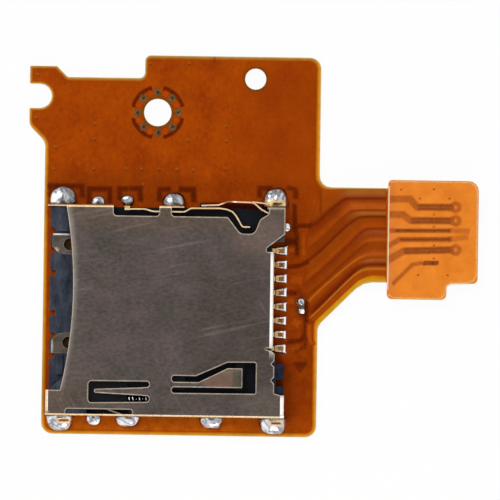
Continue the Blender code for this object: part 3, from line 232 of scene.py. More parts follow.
def outline(share):
    """The board's outline moved inwards by a share of the rim's reach, with the rim's tone there."""
    corners = []
    for i, (x, y, turn, b, _) in enumerate(BOARD):
        here = Vector((x, y))
        a = BOARD[i - 1][3] * share
        b *= share
        before = (here - Vector(BOARD[i - 1][:2])).normalized()
        after = (Vector(BOARD[(i + 1) % len(BOARD)][:2]) - here).normalized()
        cross = before.x * after.y - before.y * after.x
        shift = Vector((before.y, -before.x)) * a
        if abs(cross) > 1e-3:
            gap = Vector((after.y, -after.x)) * b - shift
            shift += before * (gap.x * after.y - gap.y * after.x) / cross
        grown = turn - a if cross < 0 else turn + a
        corners.append((here + shift, max(grown, SMALLEST_RADIUS) if turn else 0))
    points = []
    for i, (here, turn) in enumerate(corners):
        tone = BOARD[i - 1][4], BOARD[i][4]
        if not turn:
            points.append((here.x, here.y, sum(tone) / 2))
            continue
        before = corners[i - 1][0] - here
        after = corners[(i + 1) % len(corners)][0] - here
        angle = before.angle(after)
        reach = min(turn / math.tan(angle / 2), 0.49 * before.length, 0.49 * after.length)
        radius = reach * math.tan(angle / 2)
        start = here + before.normalized() * reach
        middle = here + (before.normalized() + after.normalized()).normalized() * radius / math.sin(angle / 2)
        a = start - middle
        turned = a.angle_signed(here + after.normalized() * reach - middle)
        steps = max(2, round(abs(turned) / ARC_STEP))
        for k in range(steps + 1):
            t = -turned * k / steps
            points.append((
                middle.x + a.x * math.cos(t) - a.y * math.sin(t),
                middle.y + a.x * math.sin(t) + a.y * math.cos(t),
                tone[0] + (tone[1] - tone[0]) * k / steps,
            ))
    return points


def ring(x, y, radius, steps=32):
    """Points round a circle."""
    turns = (math.tau * i / steps for i in range(steps))
    return [(x + radius * math.cos(t), y + radius * math.sin(t)) for t in turns]


def up(bm):
    """Turns all the faces of a sheet upwards."""
    for face in bm.faces:
        face.normal_update()
        if face.normal.z < 0:
            face.normal_flip()


def lift(bm, level):
    """Lays a flat mesh over the film, at a level above it, and bends it where the neck bends."""
    up(bm)
    for x, _ in NECK_RISE:
        everything = [*bm.verts, *bm.edges, *bm.faces]
        bmesh.ops.bisect_plane(bm, geom=everything, plane_co=(x, 0, 0), plane_no=(1, 0, 0))
    for vert in bm.verts:
        vert.co.z += lie(vert.co.x) + level


def piece(name, bm, looks, smooth=False):
    """Makes a piece of a mesh drawn in millimetres, with its looks. It rides on the socket."""
    bmesh.ops.scale(bm, vec=(MM, MM, MM), verts=bm.verts)
    mesh = bpy.data.meshes.new(name)
    bm.to_mesh(mesh)
    bm.free()
    for look in looks:
        mesh.materials.append(look)
    if smooth:
        mesh.shade_smooth()
    made = bpy.data.objects.new(name, mesh)
    bpy.context.scene.collection.objects.link(made)
    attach(made, "socket_on_board")
    return made


def recolour(made, mask, colour, blend="MIX"):
    """Mixes another colour into what the material shows, where the mask is white."""
    under = made.node_tree.nodes["Principled BSDF"].inputs["Base Color"].links[0].from_socket
    shade(made, {"Base Color": mixed(made.node_tree, mask, under, colour, blend)})


def overlay(made, masker, values, dark, light=None, **pattern):
    """Lays two tones over the material where a node group's mask is white."""
    mask = add(made.node_tree, "Group", values, node_tree=masker).outputs["Mask"]
    recolour(made, mask, tones(made.node_tree, dark, light or dark, **pattern)["Color"])


def make_area():
    """A mask that is white inside an ellipse, or a box where Square is 1, with a soft edge."""
    inputs = [
        ("Centre", "Vector", (0, 0, 0)),
        ("Reach", "Vector", (1, 1, 1)),
        ("Softness", "Float", 0.5),
        ("Square", "Float", 0.0),
        ("Strength", "Float", 1.0),
    ]
    tree, given, out = group("area", inputs, [("Mask", "Float")])
    place = add(tree, "TexCoord").outputs["Object"]
    away = calculate(tree, "SUBTRACT", place, given["Centre"], kind="VectorMath")
    scaled = calculate(tree, "DIVIDE", away, given["Reach"], kind="VectorMath")
    distance = add(tree, "VectorMath", {0: scaled}, operation="LENGTH").outputs["Value"]
    sides = calculate(tree, "ABSOLUTE", scaled, kind="VectorMath")
    x, y, z = add(tree, "SeparateXYZ", {0: sides}).outputs
    widest = calculate(tree, "MAXIMUM", calculate(tree, "MAXIMUM", x, y), z)
    reach = add(tree, "Mix", {0: given["Square"], 2: distance, 3: widest}).outputs[0]
    inner = calculate(tree, "SUBTRACT", 1.0, given["Softness"])
    outer = calculate(tree, "ADD", 1.0, given["Softness"])
    ends = {"Value": reach, "From Min": outer, "From Max": inner, "To Max": given["Strength"]}
    feed(tree, out, {"Mask": add(tree, "MapRange", ends, interpolation_type="SMOOTHSTEP").outputs[0]})
    return tree


area = make_area()


def stain(made, centre, reach, *colours, soft=0.5, strength=1.0, square=False, **pattern):
    """Colours an ellipse or a box of the material, given in millimetres."""
    values = {
        "Centre": [c * MM for c in centre],
        "Reach": [c * MM for c in reach],
        "Softness": soft,
        "Strength": strength,
        "Square": float(square),
    }
    overlay(made, area, values, *colours, **pattern)


bare_film = finish(
    "bare_film", (186, 116, 16), (206, 138, 26), rough=0.35, shine=FILM_SHINE, patch=1200, grain=9000
)
dress(["flex_board"], bare_film)

copper_pour = finish(
    "covered_copper", (146, 56, 0), (178, 76, 4), rough=0.42, shine=FILM_SHINE, bump=1.5e-6,
    patch=420, grain=3200, share=0.42, stretch=(1.2, 0.9, 1),
)
DIM = ((124, 45, 3), (152, 64, 8))
# Each row is a cloud in the copper, or painted shade: its centre, its reach, its two tones, and how it is
# laid on.
COPPER_CLOUDS_AND_SHADE = [
    ((10.4, 14.0), (4.4, 6.5), (144, 56, 2), (162, 68, 6), {"strength": 0.8, "patch": 500}),
    ((9.6, -0.8), (3.4, 9.0), *DIM, {"soft": 0.35, "strength": 0.85, "patch": 1300}),
    ((-3.6, 9.6), (6.5, 1.5), *DIM, {"strength": 0.45, "patch": 900}),
    ((-0.5, -8.9), (9.6, 1.1), (178, 78, 10), (208, 100, 20), {"soft": 0.4, "strength": 0.95, "patch": 1500}),
    # Painted shade: dark maroon where the board lies in the switch strips' shadow.
    ((5.7, 8.36), (2.5, 0.26), (58, 20, 10), (78, 28, 14), {"soft": 0.4, "square": True, "patch": 1500}),
]
for centre, reach, dark, light, how in COPPER_CLOUDS_AND_SHADE:
    stain(copper_pour, (*centre, 0), (*reach, 9), dark, light, **how)

# The copper stops just short of the rim's inner edge, and stands clear of the holes.
COPPER_SHARE = 0.97
HOLE_GAP = 0.02
COPPER_LEVEL = 0.010
COPPER_THICKNESS = 0.006
holes = [ring(x, y, radius + HOLE_GAP) for x, y, radius in (SCREW_HOLE, LOCATING_HOLE)]
loops = [[Vector((*point[:2], 0)) for point in loop] for loop in (outline(COPPER_SHARE), *holes)]
bm = bmesh.new()
verts = [bm.verts.new(point) for loop in loops for point in loop]
for triangle in tessellate_polygon(loops):
    bm.faces.new([verts[i] for i in triangle])
lift(bm, COPPER_LEVEL)
copper_layer = piece("copper_layer", bm, [copper_pour])
solid = copper_layer.modifiers.new("thickness", "SOLIDIFY")
solid.thickness = COPPER_THICKNESS * MM
solid.offset = -1


def stored(made, name):
    """A value that the mesh's vertices carry, for a material to read."""
    return add(made.node_tree, "Attribute", attribute_name=name).outputs["Fac"]


def ramp(tree, source, stops):
    """A colour ramp through stops of (place, colour)."""
    made = add(tree, "ValToRGB", {0: source})
    elements = made.color_ramp.elements
    while len(elements) < len(stops):
        elements.new(0.5)
    for element, (place, colour) in zip(elements, stops):
        element.position = place
        element.color = tint(*colour)
    return made.outputs[0]


def put(bm, x, y, z=0.0, **values):
    """A new vertex, which carries named values."""
    layers = bm.verts.layers.float
    carried = [(layers.get(name) or layers.new(name), value) for name, value in values.items()]
    vert = bm.verts.new((x, y, z))
    for layer, value in carried:
        vert[layer] = value
    return vert


def skin(bm, rows, closed=False, number=0):
    """Faces between each row of vertices and the next, right round where the rows are closed."""
    for first, second in zip(rows, rows[1:]):
        for i in range(0 if closed else 1, len(first)):
            face = bm.faces.new((first[i - 1], first[i], second[i], second[i - 1]))
            face.material_index = number


# The rim's colour is painted light that glows brightest at the cut edge. It runs from the cut edge, where
# "reach" is 0, to the copper, where it is 1. It goes a little further in than the copper's edge, over which
# it lies.
OLIVE_RIM = [(0, (216, 190, 134)), (0.3, (188, 134, 60)), (0.6, (178, 106, 32)), (1, (172, 72, 4))]
ORANGE_RIM = [
    (0, (240, 204, 142)), (0.22, (232, 162, 60)), (0.5, (224, 134, 24)), (0.8, (186, 92, 6)),
    (1, (154, 60, 3)),
]
YELLOW_RIM = [
    (0, (236, 196, 110)), (0.2, (222, 160, 40)), (0.6, (224, 150, 22)), (0.85, (206, 122, 22)),
    (1, (170, 70, 4)),
]
RIM_SHARE = 1.02
RIM_STEPS = 5
RIM_LEVEL = 0.0115
rim = finish(
    "film_rim", (228, 228, 228), (255, 255, 255), rough=0.4, shine=FILM_SHINE, patch=1500, grain=7000
)
tree = rim.node_tree
reach = stored(rim, "reach")
tone = stored(rim, "glow")
olive, orange, yellow = (ramp(tree, reach, stops) for stops in (OLIVE_RIM, ORANGE_RIM, YELLOW_RIM))
browned = mixed(tree, tone, olive, orange)
recolour(rim, 1.0, mixed(tree, spread(tree, tone, 1.0, 2.0), browned, yellow), "MULTIPLY")

bm = bmesh.new()
rows = []
for step in range(RIM_STEPS + 1):
    share = step / RIM_STEPS
    rows.append([put(bm, x, y, reach=share, glow=tone) for x, y, tone in outline(share * RIM_SHARE)])
skin(bm, rows, closed=True)
lift(bm, RIM_LEVEL)
piece("film_rim", bm, [rim])

# Runs of the neck: copper runs and the gaps between them, seen as soft bands through the cover film.
# The bands lie side by side across the neck and bend together towards the socket.

MAROON, DARK, UMBER, BROWN = (118, 40, 4), (136, 50, 2), (146, 60, 6), (156, 68, 10)
RUST, EMBER, OLIVE, PLUM, GOLD = (172, 74, 12), (190, 88, 28), (172, 98, 36), (162, 78, 38), (204, 116, 34)
# Paths across the neck, each with its place in the bands, and its points from the tab to the socket.
NECK_PATHS = [
    (0.000, [(17.34, 9.89), (14.65, 9.85), (13.94, 9.84), (12.92, 9.78), (12.29, 9.73), (12.17, 9.57)]),
    (0.110, [(17.35, 9.14), (14.67, 9.10), (13.96, 8.97), (12.94, 8.13), (11.85, 7.12), (11.23, 6.88)]),
    (0.248, [(17.36, 8.21), (15.15, 8.17), (14.45, 7.95), (13.28, 6.87), (12.03, 5.63), (11.02, 4.82)]),
    (0.316, [(17.37, 7.74), (15.79, 7.72), (15.01, 7.48), (13.76, 6.40), (12.05, 4.72), (11.03, 3.99)]),
    (0.459, [(17.38, 6.77), (16.20, 6.75), (15.49, 6.51), (14.09, 5.14), (12.22, 3.34), (10.98, 2.29)]),
    (0.622, [(17.40, 5.67), (16.30, 5.65), (15.59, 5.40), (14.26, 4.20), (12.40, 2.39), (11.07, 1.27)]),
    (0.756, [(17.41, 4.76), (16.31, 4.74), (15.52, 4.53), (14.43, 3.81), (12.09, 1.76), (11.08, 0.64)]),
    (0.876, [(17.43, 3.94), (16.08, 3.92), (15.38, 3.74), (14.75, 3.30), (12.57, 1.13), (11.41, 0.01)]),
    (0.928, [(17.43, 3.59), (16.01, 3.57), (15.22, 3.30), (14.13, 2.34), (12.19, 0.34), (11.33, -0.46)]),
    (1.000, [(17.44, 3.10), (16.33, 3.06), (15.55, 2.76), (14.92, 2.31), (12.59, 0.03), (11.73, -0.77)]),
]
BY_THE_TAB = [
    (0.00, OLIVE), (0.04, OLIVE), (0.08, PLUM), (0.11, MAROON), (0.13, UMBER), (0.19, EMBER), (0.23, EMBER),
    (0.248, DARK), (0.273, OLIVE), (0.295, OLIVE), (0.318, MAROON), (0.35, BROWN), (0.42, RUST), (0.44, RUST),
    (0.459, DARK), (0.495, PLUM), (0.55, BROWN), (0.593, EMBER), (0.622, BROWN), (0.70, BROWN),
    (0.756, EMBER), (0.80, BROWN), (0.829, OLIVE), (0.845, PLUM), (0.878, MAROON), (0.905, BROWN),
    (0.928, GOLD), (0.955, RUST), (1.00, RUST),
]
ON_THE_SLANT = [
    (0.00, RUST), (0.085, BROWN), (0.11, MAROON), (0.13, DARK), (0.17, UMBER), (0.217, RUST), (0.24, UMBER),
    (0.29, UMBER), (0.314, MAROON), (0.335, BROWN), (0.39, BROWN), (0.43, RUST), (0.462, DARK), (0.51, UMBER),
    (0.587, BROWN), (0.63, DARK), (0.70, BROWN), (0.74, RUST), (0.757, GOLD), (0.775, RUST), (0.83, UMBER),
    (0.878, MAROON), (0.912, MAROON), (0.930, GOLD), (0.948, BROWN), (0.965, RUST), (1.00, RUST),
]
STEPS_ALONG = 40
STEP_ACROSS = 0.03
NECK_LEVEL = 0.0125


def smooth_row(points, steps):
    """A smooth line through the points, as a list of (x, y) and how far along it each is."""
    row = []
    last = len(points) - 1
    for k in range(steps + 1):
        t = k / steps * last
        i = min(int(t), last - 1)
        f = t - i
        p0, p1, p2, p3 = (Vector(points[min(max(i + j, 0), last)]) for j in (-1, 0, 1, 2))
        a = 2 * p1
        b = p2 - p0
        c = 2 * p0 - 5 * p1 + 4 * p2 - p3
        d = 3 * p1 - p0 - 3 * p2 + p3
        row.append((*(0.5 * (a + b * f + c * f * f + d * f ** 3)), k / steps))
    return row


neck_run = finish(
    "neck_runs", (234, 234, 234), (255, 255, 255), rough=0.42, shine=FILM_SHINE, patch=1300, grain=5200
)
tree = neck_run.node_tree
across = stored(neck_run, "across")
along = stored(neck_run, "along")
by_the_tab, on_the_slant = (ramp(tree, across, stops) for stops in (BY_THE_TAB, ON_THE_SLANT))
bands = mixed(tree, spread(tree, along, 0.22, 0.52), by_the_tab, on_the_slant)
recolour(neck_run, 1.0, bands, "MULTIPLY")
recolour(neck_run, spread(tree, along, 0.90, 1.0), tones(tree, *DIM, patch=1300)["Color"])

bm = bmesh.new()
rows = []
guides = [(place, smooth_row(points, STEPS_ALONG)) for place, points in NECK_PATHS]
for (start, first), (end, second) in zip(guides, guides[1:]):
    steps = max(1, round((end - start) / STEP_ACROSS))
    for k in range(steps if end < 1 else steps + 1):
        share = k / steps
        place = start + (end - start) * share
        rows.append([
            put(bm, a[0] + (b[0] - a[0]) * share, a[1] + (b[1] - a[1]) * share, across=place, along=a[2])
            for a, b in zip(first, second)
        ])
skin(bm, rows)
lift(bm, NECK_LEVEL)
piece("neck_runs", bm, [neck_run])

# Marks in the copper: frames round the solder pads, stubs behind the contacts, and small plated vias.
# They are etched into the copper, and the cover film leaves their edges soft.

# This share of a mark's blur lies inside its edge.
INSIDE = 0.3
SPOT_SIDES = 20


def soft_finish(name, dark, light, **pattern):
    """A mark's colour, which lets the ground show where its mesh's "soft" is low."""
    made = finish(name, dark, light, rough=0.42, shine=FILM_SHINE, **pattern)
    shade(made, {"Alpha": stored(made, "soft")})
    return made


def strip(bm, path, width, number, level, strength=1.0, blur=0.07):
    """A ribbon along a path, with mitred turns, which fades out over the blur at its sides and ends."""
    path = [Vector(p) for p in path]
    for end, inner in ((0, 1), (-1, -2)):
        away = (path[end] - path[inner]).normalized()
        path.insert(0 if end == 0 else len(path), path[end] + away * blur)
    rows = []
    for i, p in enumerate(path):
        before = (p - path[i - 1]).normalized() if i else None
        after = (path[i + 1] - p).normalized() if i + 1 < len(path) else None
        along = ((before or after) + (after or before)).normalized()
        side = Vector((-along.y, along.x)) / max(0.5, along.dot(before or after))
        full = strength if before and after else 0
        rows.append([])
        for reach, value in ((-1, 0), (-1, 1), (1, 1), (1, 0)):
            q = p + side * reach * (width / 2 + (blur if value == 0 else -blur * INSIDE))
            rows[-1].append(put(bm, q.x, q.y, level, soft=value * full))
    skin(bm, rows, number=number)


def spot(bm, x, y, radius, number, level, hole=0.0, strength=1.0, blur=0.05):
    """A round mark with a soft edge, or a ring where it has a hole."""
    circles = [(radius + blur, 0), (max(radius - blur * INSIDE, 0.02), 1)]
    if hole:
        circles += [(hole + blur * INSIDE, 1), (max(hole - blur, 0.01), 0)]
    rows = [
        [put(bm, *p, level, soft=value * strength) for p in ring(x, y, reach, SPOT_SIDES)]
        for reach, value in circles
    ]
    skin(bm, rows, closed=True, number=number)
    if not hole:
        bm.faces.new(rows[-1]).material_index = number


MARK = {"patch": 1600, "share": 0.5}
etched = soft_finish("etched_gap", (98, 32, 6), (120, 42, 8), **MARK)
lit = soft_finish("lit_copper", (172, 70, 10), (188, 84, 16), **MARK)
via_highlight = soft_finish("via_highlight_spot", (176, 92, 30), (196, 116, 48), **MARK)
olive_line = soft_finish("olive_line", (122, 76, 18), (140, 92, 30), **MARK)
via_metal = soft_finish("via_metal", (88, 66, 36), (140, 118, 82), **MARK)
via_pit = soft_finish("via_pit", (56, 40, 28), (84, 58, 36), **MARK)
land = soft_finish("ring_land", (184, 68, 6), (204, 82, 12), **MARK)
ETCHED, LIT, VIA_HIGHLIGHT, OLIVE_LINE, VIA_METAL, VIA_PIT, LAND = range(7)
# Each row is a mark's colour, width and strength, and its points in millimetres.
PAD_FRAMES = [
    (ETCHED, 0.26, 0.55, [(-9.30, 9.76), (-6.64, 9.76), (-6.60, 8.95)]),
    (ETCHED, 0.20, 0.40, [(-9.14, 9.60), (-9.17, 8.90)]),
    (ETCHED, 0.26, 0.60, [(-6.07, 8.45), (-6.07, 9.54), (-4.46, 9.56), (-4.43, 8.50)]),
    (ETCHED, 0.24, 0.55, [(-3.68, 8.80), (-3.66, 9.60), (-3.02, 9.60)]),
    (ETCHED, 0.26, 0.60, [(-2.79, 9.62), (-2.08, 9.62), (-2.02, 8.70)]),
    (ETCHED, 0.26, 0.55, [(-0.55, 8.70), (-0.50, 9.58), (0.25, 9.62)]),
    (ETCHED, 0.30, 0.60, [(1.06, 9.62), (2.14, 9.60), (2.20, 8.70)]),
    (ETCHED, 0.26, 0.50, [(7.36, 9.15), (7.38, 9.80), (8.26, 9.80)]),
    (ETCHED, 0.26, 0.50, [(9.55, 9.88), (10.18, 9.72), (10.22, 9.10)]),
]
STUBS = [
    (ETCHED, 0.08, 0.20, [(12.17, 9.60), (12.20, 7.95)]),
    (ETCHED, 0.18, 0.75, [(11.36, 6.88), (10.20, 6.86), (10.14, 8.50)]),
    (ETCHED, 0.20, 0.60, [(10.16, 6.70), (10.36, 6.10), (10.38, 4.60)]),
    (ETCHED, 0.36, 0.60, [(9.52, 5.62), (10.30, 5.62)]),
    (LIT, 0.30, 0.90, [(9.80, 4.98), (10.10, 4.96)]),
    (LIT, 0.24, 0.80, [(10.88, 6.30), (10.92, 4.60)]),
    (ETCHED, 0.16, 0.80, [(11.24, 4.03), (10.60, 3.74), (9.70, 3.60)]),
    (LIT, 0.60, 0.75, [(10.05, 2.70), (10.80, 2.50)]),
    (ETCHED, 0.24, 0.60, [(9.80, 1.62), (10.30, 1.52)]),
    (LIT, 0.40, 0.70, [(9.75, 0.90), (10.20, 0.90)]),
    (ETCHED, 0.24, 0.55, [(11.18, 0.90), (11.15, -0.55)]),
    (LIT, 0.55, 0.80, [(10.15, -0.66), (10.65, -0.90)]),
    (ETCHED, 0.20, 0.65, [(11.16, -0.60), (11.20, -1.50), (10.80, -2.16), (9.80, -2.30)]),
    (LIT, 0.28, 1.00, [(11.46, -0.95), (11.46, -2.05), (11.70, -2.45)]),
    (ETCHED, 0.16, 0.45, [(11.20, -1.90), (11.10, -2.70), (10.30, -3.00)]),
    (LIT, 0.30, 0.60, [(10.10, -2.90), (10.60, -2.62)]),
    (ETCHED, 0.16, 0.45, [(10.28, -4.00), (11.22, -4.00)]),
    (ETCHED, 0.22, 0.45, [(10.50, -4.26), (11.00, -4.26)]),
    (ETCHED, 0.14, 0.45, [(10.70, -4.56), (10.80, -4.56)]),
]
SMALL_VIAS = [
    (-5.71, 14.6), (-5.69, 13.41), (-5.73, 11.04), (-3.2, 11.08), (-1.94, 11.1), (-0.56, 11.12),
    (0.82, 11.09), (2.14, 11.05), (4.59, 11.2), (-1.8, 9.86), (1.66, 13.44), (4.73, 13.41),
    (4.67, 14.55), (1.7, 19.47), (-8.89, 11.0), (-8.75, 12.74), (-10.31, 15.02), (-10.26, 18.42),
    (-1.38, 19.43), (3.69, 19.82),
]
# Each mark has a level of its own above this one, as two marks in one plane would flicker.
MARK_LEVEL = 0.0135
bm = bmesh.new()
for order, (number, width, strength, path) in enumerate(PAD_FRAMES + STUBS):
    strip(bm, path, width, number, 0.0003 * order, strength, blur=0.20 if number == LIT else 0.17)
# Each small via is a dark dot, with a painted highlight set off beside it.
for x, y in SMALL_VIAS:
    spot(bm, x, y, 0.07, ETCHED, 0.010, strength=0.35, blur=0.07)
    spot(bm, x - 0.03, y + 0.13, 0.08, VIA_HIGHLIGHT, 0.0105, strength=0.60, blur=0.10)

# Screw hole's ring: eight plated vias join its ground pad to the layer below, with etched arcs outside.
ARC_CIRCLE, VIA_CIRCLE, LAND_CIRCLE = 1.98, 1.61, 1.60
hole_x, hole_y, hole_radius = SCREW_HOLE
spot(bm, hole_x, hole_y, 1.24, OLIVE_LINE, 0.0110, hole=hole_radius + 0.05, strength=0.8, blur=0.08)
x, y, radius = LOCATING_HOLE
spot(bm, x, y, radius + 0.14, OLIVE_LINE, 0.0110, hole=radius + 0.04, strength=0.6)
for quarter in range(4):
    turns = [math.radians(90 * quarter + 16 + 60 * k / 12) for k in range(13)]
    arc = [(hole_x + ARC_CIRCLE * math.cos(t), hole_y + ARC_CIRCLE * math.sin(t)) for t in turns]
    strip(bm, arc, 0.20, ETCHED, 0.0105, strength=0.85, blur=0.12)
lands = ring(hole_x, hole_y, LAND_CIRCLE, 16)[1::2]
for i in range(8):
    angle = math.tau * (i + 0.03) / 8
    x, y = hole_x + VIA_CIRCLE * math.cos(angle), hole_y + VIA_CIRCLE * math.sin(angle)
    spot(bm, *lands[i], 0.22, LAND, 0.0120, strength=0.8, blur=0.12)
    spot(bm, x, y, 0.22, VIA_METAL, 0.0130, strength=0.9, blur=0.14)
    spot(bm, x + 0.03, y, 0.08, VIA_PIT, 0.0140, strength=0.7, blur=0.10)
# Painted shade: dark brown discs on the board, seen through the insert plate's pilot holes, where the holes
# lie in shade.
for y in (5.15, -2.59):
    spot(bm, -7.55, y, 0.62, VIA_PIT, 0.0125, blur=0.02)
lift(bm, MARK_LEVEL)
marks = [etched, lit, via_highlight, olive_line, via_metal, via_pit, land]
piece("copper_marks", bm, marks)

# Tab: a stiffener of orange film, glued over the board's end to back the plug. The copper runs below
# show through it, with their edges blurred by its thickness.

orange_film = finish(
    "orange_film", (230, 125, 40), (250, 145, 52), rough=0.45, shine=0.05, bump=2e-6, patch=700, grain=6000
)
stain(orange_film, (17.4, 6.2, 1.2), (0.7, 5.0, 1), (216, 116, 50), (236, 136, 62), soft=0.6, square=True)
dress(["tab_stiffener"], orange_film)

tab_run = soft_finish("run_under_film", (176, 92, 40), (206, 112, 48), patch=2600, share=0.5)
tab_core = soft_finish("run_core", (122, 58, 28), (172, 92, 46), patch=4200, share=0.6)
tab_side_highlight = soft_finish("film_side_highlight", (255, 226, 190), (246, 196, 144), patch=3000)
tab_edge_glow = soft_finish("film_edge_glow", (255, 196, 122), (248, 168, 84), patch=2000)
RUN, CORE, SIDE_HIGHLIGHT, EDGE_GLOW = range(4)
TAB_RUNS = [
    (RUN, 0.42, 0.60, [(17.60, 9.09), (19.24, 9.11), (19.80, 8.48), (22.62, 8.51)]),
    (RUN, 0.42, 0.60, [(17.60, 7.87), (18.70, 7.89), (19.30, 7.42), (22.62, 7.45)]),
    (RUN, 0.20, 0.70, [(17.60, 6.60), (22.45, 6.67)]),
    (RUN, 0.28, 0.35, [(22.30, 6.67), (23.90, 6.67)]),
    (RUN, 0.26, 0.70, [(17.60, 5.40), (18.40, 5.91), (22.50, 5.98)]),
    (RUN, 0.36, 0.30, [(22.30, 5.98), (23.80, 6.20)]),
    (RUN, 0.42, 0.65, [(17.60, 4.30), (18.76, 5.01), (22.60, 5.15)]),
    (RUN, 0.16, 0.65, [(18.00, 2.44), (19.50, 3.96), (20.20, 4.08), (21.40, 4.10)]),
    (CORE, 0.08, 0.45, [(19.90, 8.36), (22.40, 8.38)]),
    (CORE, 0.08, 0.45, [(19.90, 8.62), (22.40, 8.64)]),
    (CORE, 0.08, 0.45, [(19.40, 7.30), (22.40, 7.33)]),
    (CORE, 0.08, 0.45, [(19.40, 7.56), (22.40, 7.58)]),
    (CORE, 0.06, 0.55, [(18.20, 6.61), (22.30, 6.66)]),
    (CORE, 0.08, 0.55, [(18.60, 5.92), (22.30, 5.98)]),
    (CORE, 0.08, 0.45, [(18.90, 4.90), (22.40, 5.02)]),
    (CORE, 0.08, 0.45, [(18.90, 5.16), (22.40, 5.28)]),
    (CORE, 0.16, 0.90, [(20.45, 4.09), (21.46, 4.10)]),
]
TAB_PADS = [(22.83, 8.52), (22.85, 7.46), (22.88, 5.15)]
TAB_SPECKS = [
    (21.10, 9.92), (21.12, 7.92), (21.14, 6.96), (21.16, 5.50), (21.18, 4.46), (18.52, 9.85), (20.01, 9.16),
    (22.34, 9.20), (19.96, 3.13), (22.29, 3.15),
]
TAB_LEVEL = 1.2505
bm = bmesh.new()
for order, (number, width, strength, path) in enumerate(TAB_RUNS):
    strip(bm, path, width, number, 0.0001 * order, strength, blur=0.15)
for x, y in TAB_PADS:
    spot(bm, x, y, 0.40, RUN, 0.0020, hole=0.18, strength=0.55, blur=0.16)
for x, y in TAB_SPECKS:
    spot(bm, x, y, 0.05, CORE, 0.0030, strength=0.5, blur=0.08)
# A pale painted glow along the cut edge runs round the tab's outline, and stops at it.
INNER_EDGE = [
    (17.64, 10.46), (18.30, 10.50), (23.86, 10.50), (24.34, 10.30), (24.55, 9.80), (24.55, 3.20),
    (24.30, 2.74), (23.80, 2.56), (22.50, 2.51), (22.16, 2.30), (22.10, 1.70), (21.80, 1.30),
    (18.00, 1.30), (17.66, 1.55),
]
TAB_RIGHT, TAB_FRONT, TAB_BACK = 24.649, 1.201, 10.599
strip(bm, INNER_EDGE, 0.10, EDGE_GLOW, 0.0022, 0.9, blur=0.09)
for vert in bm.verts:
    vert.co.x = min(vert.co.x, TAB_RIGHT)
    vert.co.y = min(max(vert.co.y, TAB_FRONT), TAB_BACK)
# A painted highlight: a white line along the stiffener's left edge.
strip(bm, [(17.57, 10.10), (17.57, 1.95)], 0.08, SIDE_HIGHLIGHT, 0.0035, 1.0, blur=0.025)
up(bm)
for vert in bm.verts:
    vert.co.z += TAB_LEVEL
piece("tab_runs", bm, [tab_run, tab_core, tab_side_highlight, tab_edge_glow])

# Plug: a black moulded trough under the tab, with a row of gilt contacts along each side. It pushes into
# a header on the main board.

plug_plastic = finish("black_plug_plastic", (22, 22, 24), (36, 36, 38), rough=0.5, bump=3e-6, grain=9000)
plug_gilt = finish("plug_gilt", (214, 160, 72), (236, 190, 104), rough=0.25, metal=1.0, grain=9000)
dress(["plug_housing"], plug_plastic)
dress([n for n in nodes if n.startswith(("plug_contact", "plug_anchor"))], plug_gilt)

# Moulding: one piece of navy glass-filled plastic, with the floor, the card's guide walls and the
# ejector's channel. It lies in the shell's shade, apart from its ends.


def make_edge_highlight():
    """A mask that is white along sharp edges and folds, where highlights are painted, and broken up a little
    by fine noise.
    """
    inputs = [("Radius", "Float", 0.0001), ("Breakup", "Float", 0.2), ("Strength", "Float", 1.0)]
    tree, given, out = group("edge_highlight", inputs, [("Mask", "Float")])
    rounded = add(tree, "Bevel", {"Radius": given["Radius"]}, samples=8).outputs[0]
    plain = add(tree, "NewGeometry").outputs["Normal"]
    alike = add(tree, "VectorMath", {0: rounded, 1: plain}, operation="DOT_PRODUCT").outputs["Value"]
    grain = clouds(tree, add(tree, "TexCoord").outputs["Object"], 2600.0, detail=2.0)
    loss = calculate(tree, "MULTIPLY", grain, given["Breakup"])
    kept = calculate(tree, "SUBTRACT", spread(tree, alike, 0.998, 0.955), loss)
    feed(tree, out, {"Mask": calculate(tree, "MULTIPLY", kept, given["Strength"], use_clamp=True)})
    return tree


edge_highlight = make_edge_highlight()


def painted_edge_highlights(made, *colours, radius=0.10, breakup=0.2, strength=1.0, **pattern):
    """Paints highlights along the material's edges, in other colours."""
    values = {"Radius": radius * MM, "Breakup": breakup, "Strength": strength}
    overlay(made, edge_highlight, values, *colours, **pattern)


navy = finish(
    "navy_moulding", (34, 39, 50), (76, 80, 92), rough=0.42, shine=0.10, bump=4e-6, patch=1000, grain=5200,
    stretch=(1.5, 0.6, 1),
)
# Painted highlights along the moulding's edges.
painted_edge_highlights(navy, (84, 96, 116), radius=0.08, breakup=0.6, strength=0.6)
# Painted shade: the moulding is near black under the shell, which shades it, and darker in a patch by the
# shell's right edge.
stain(navy, (1.3, 0, 1), (7.35, 8.80, 3), (9, 11, 17), (20, 24, 33), soft=0.02, square=True, patch=900)
stain(navy, (9.2, -5.6, 1), (0.6, 1.8, 3), (14, 20, 32), (40, 48, 66), soft=0.1, square=True, patch=1400)
dress(["socket_housing"], navy)

# Insert plate: a steel sheet moulded in under the card. Its two lugs lie bare at the entry, with a pilot
# hole each for the moulding's bosses.

lug_steel = finish(
    "lug_steel", (70, 64, 56), (98, 88, 80), rough=0.4, metal=1.0, bump=2e-6, patch=1100, grain=6000
)
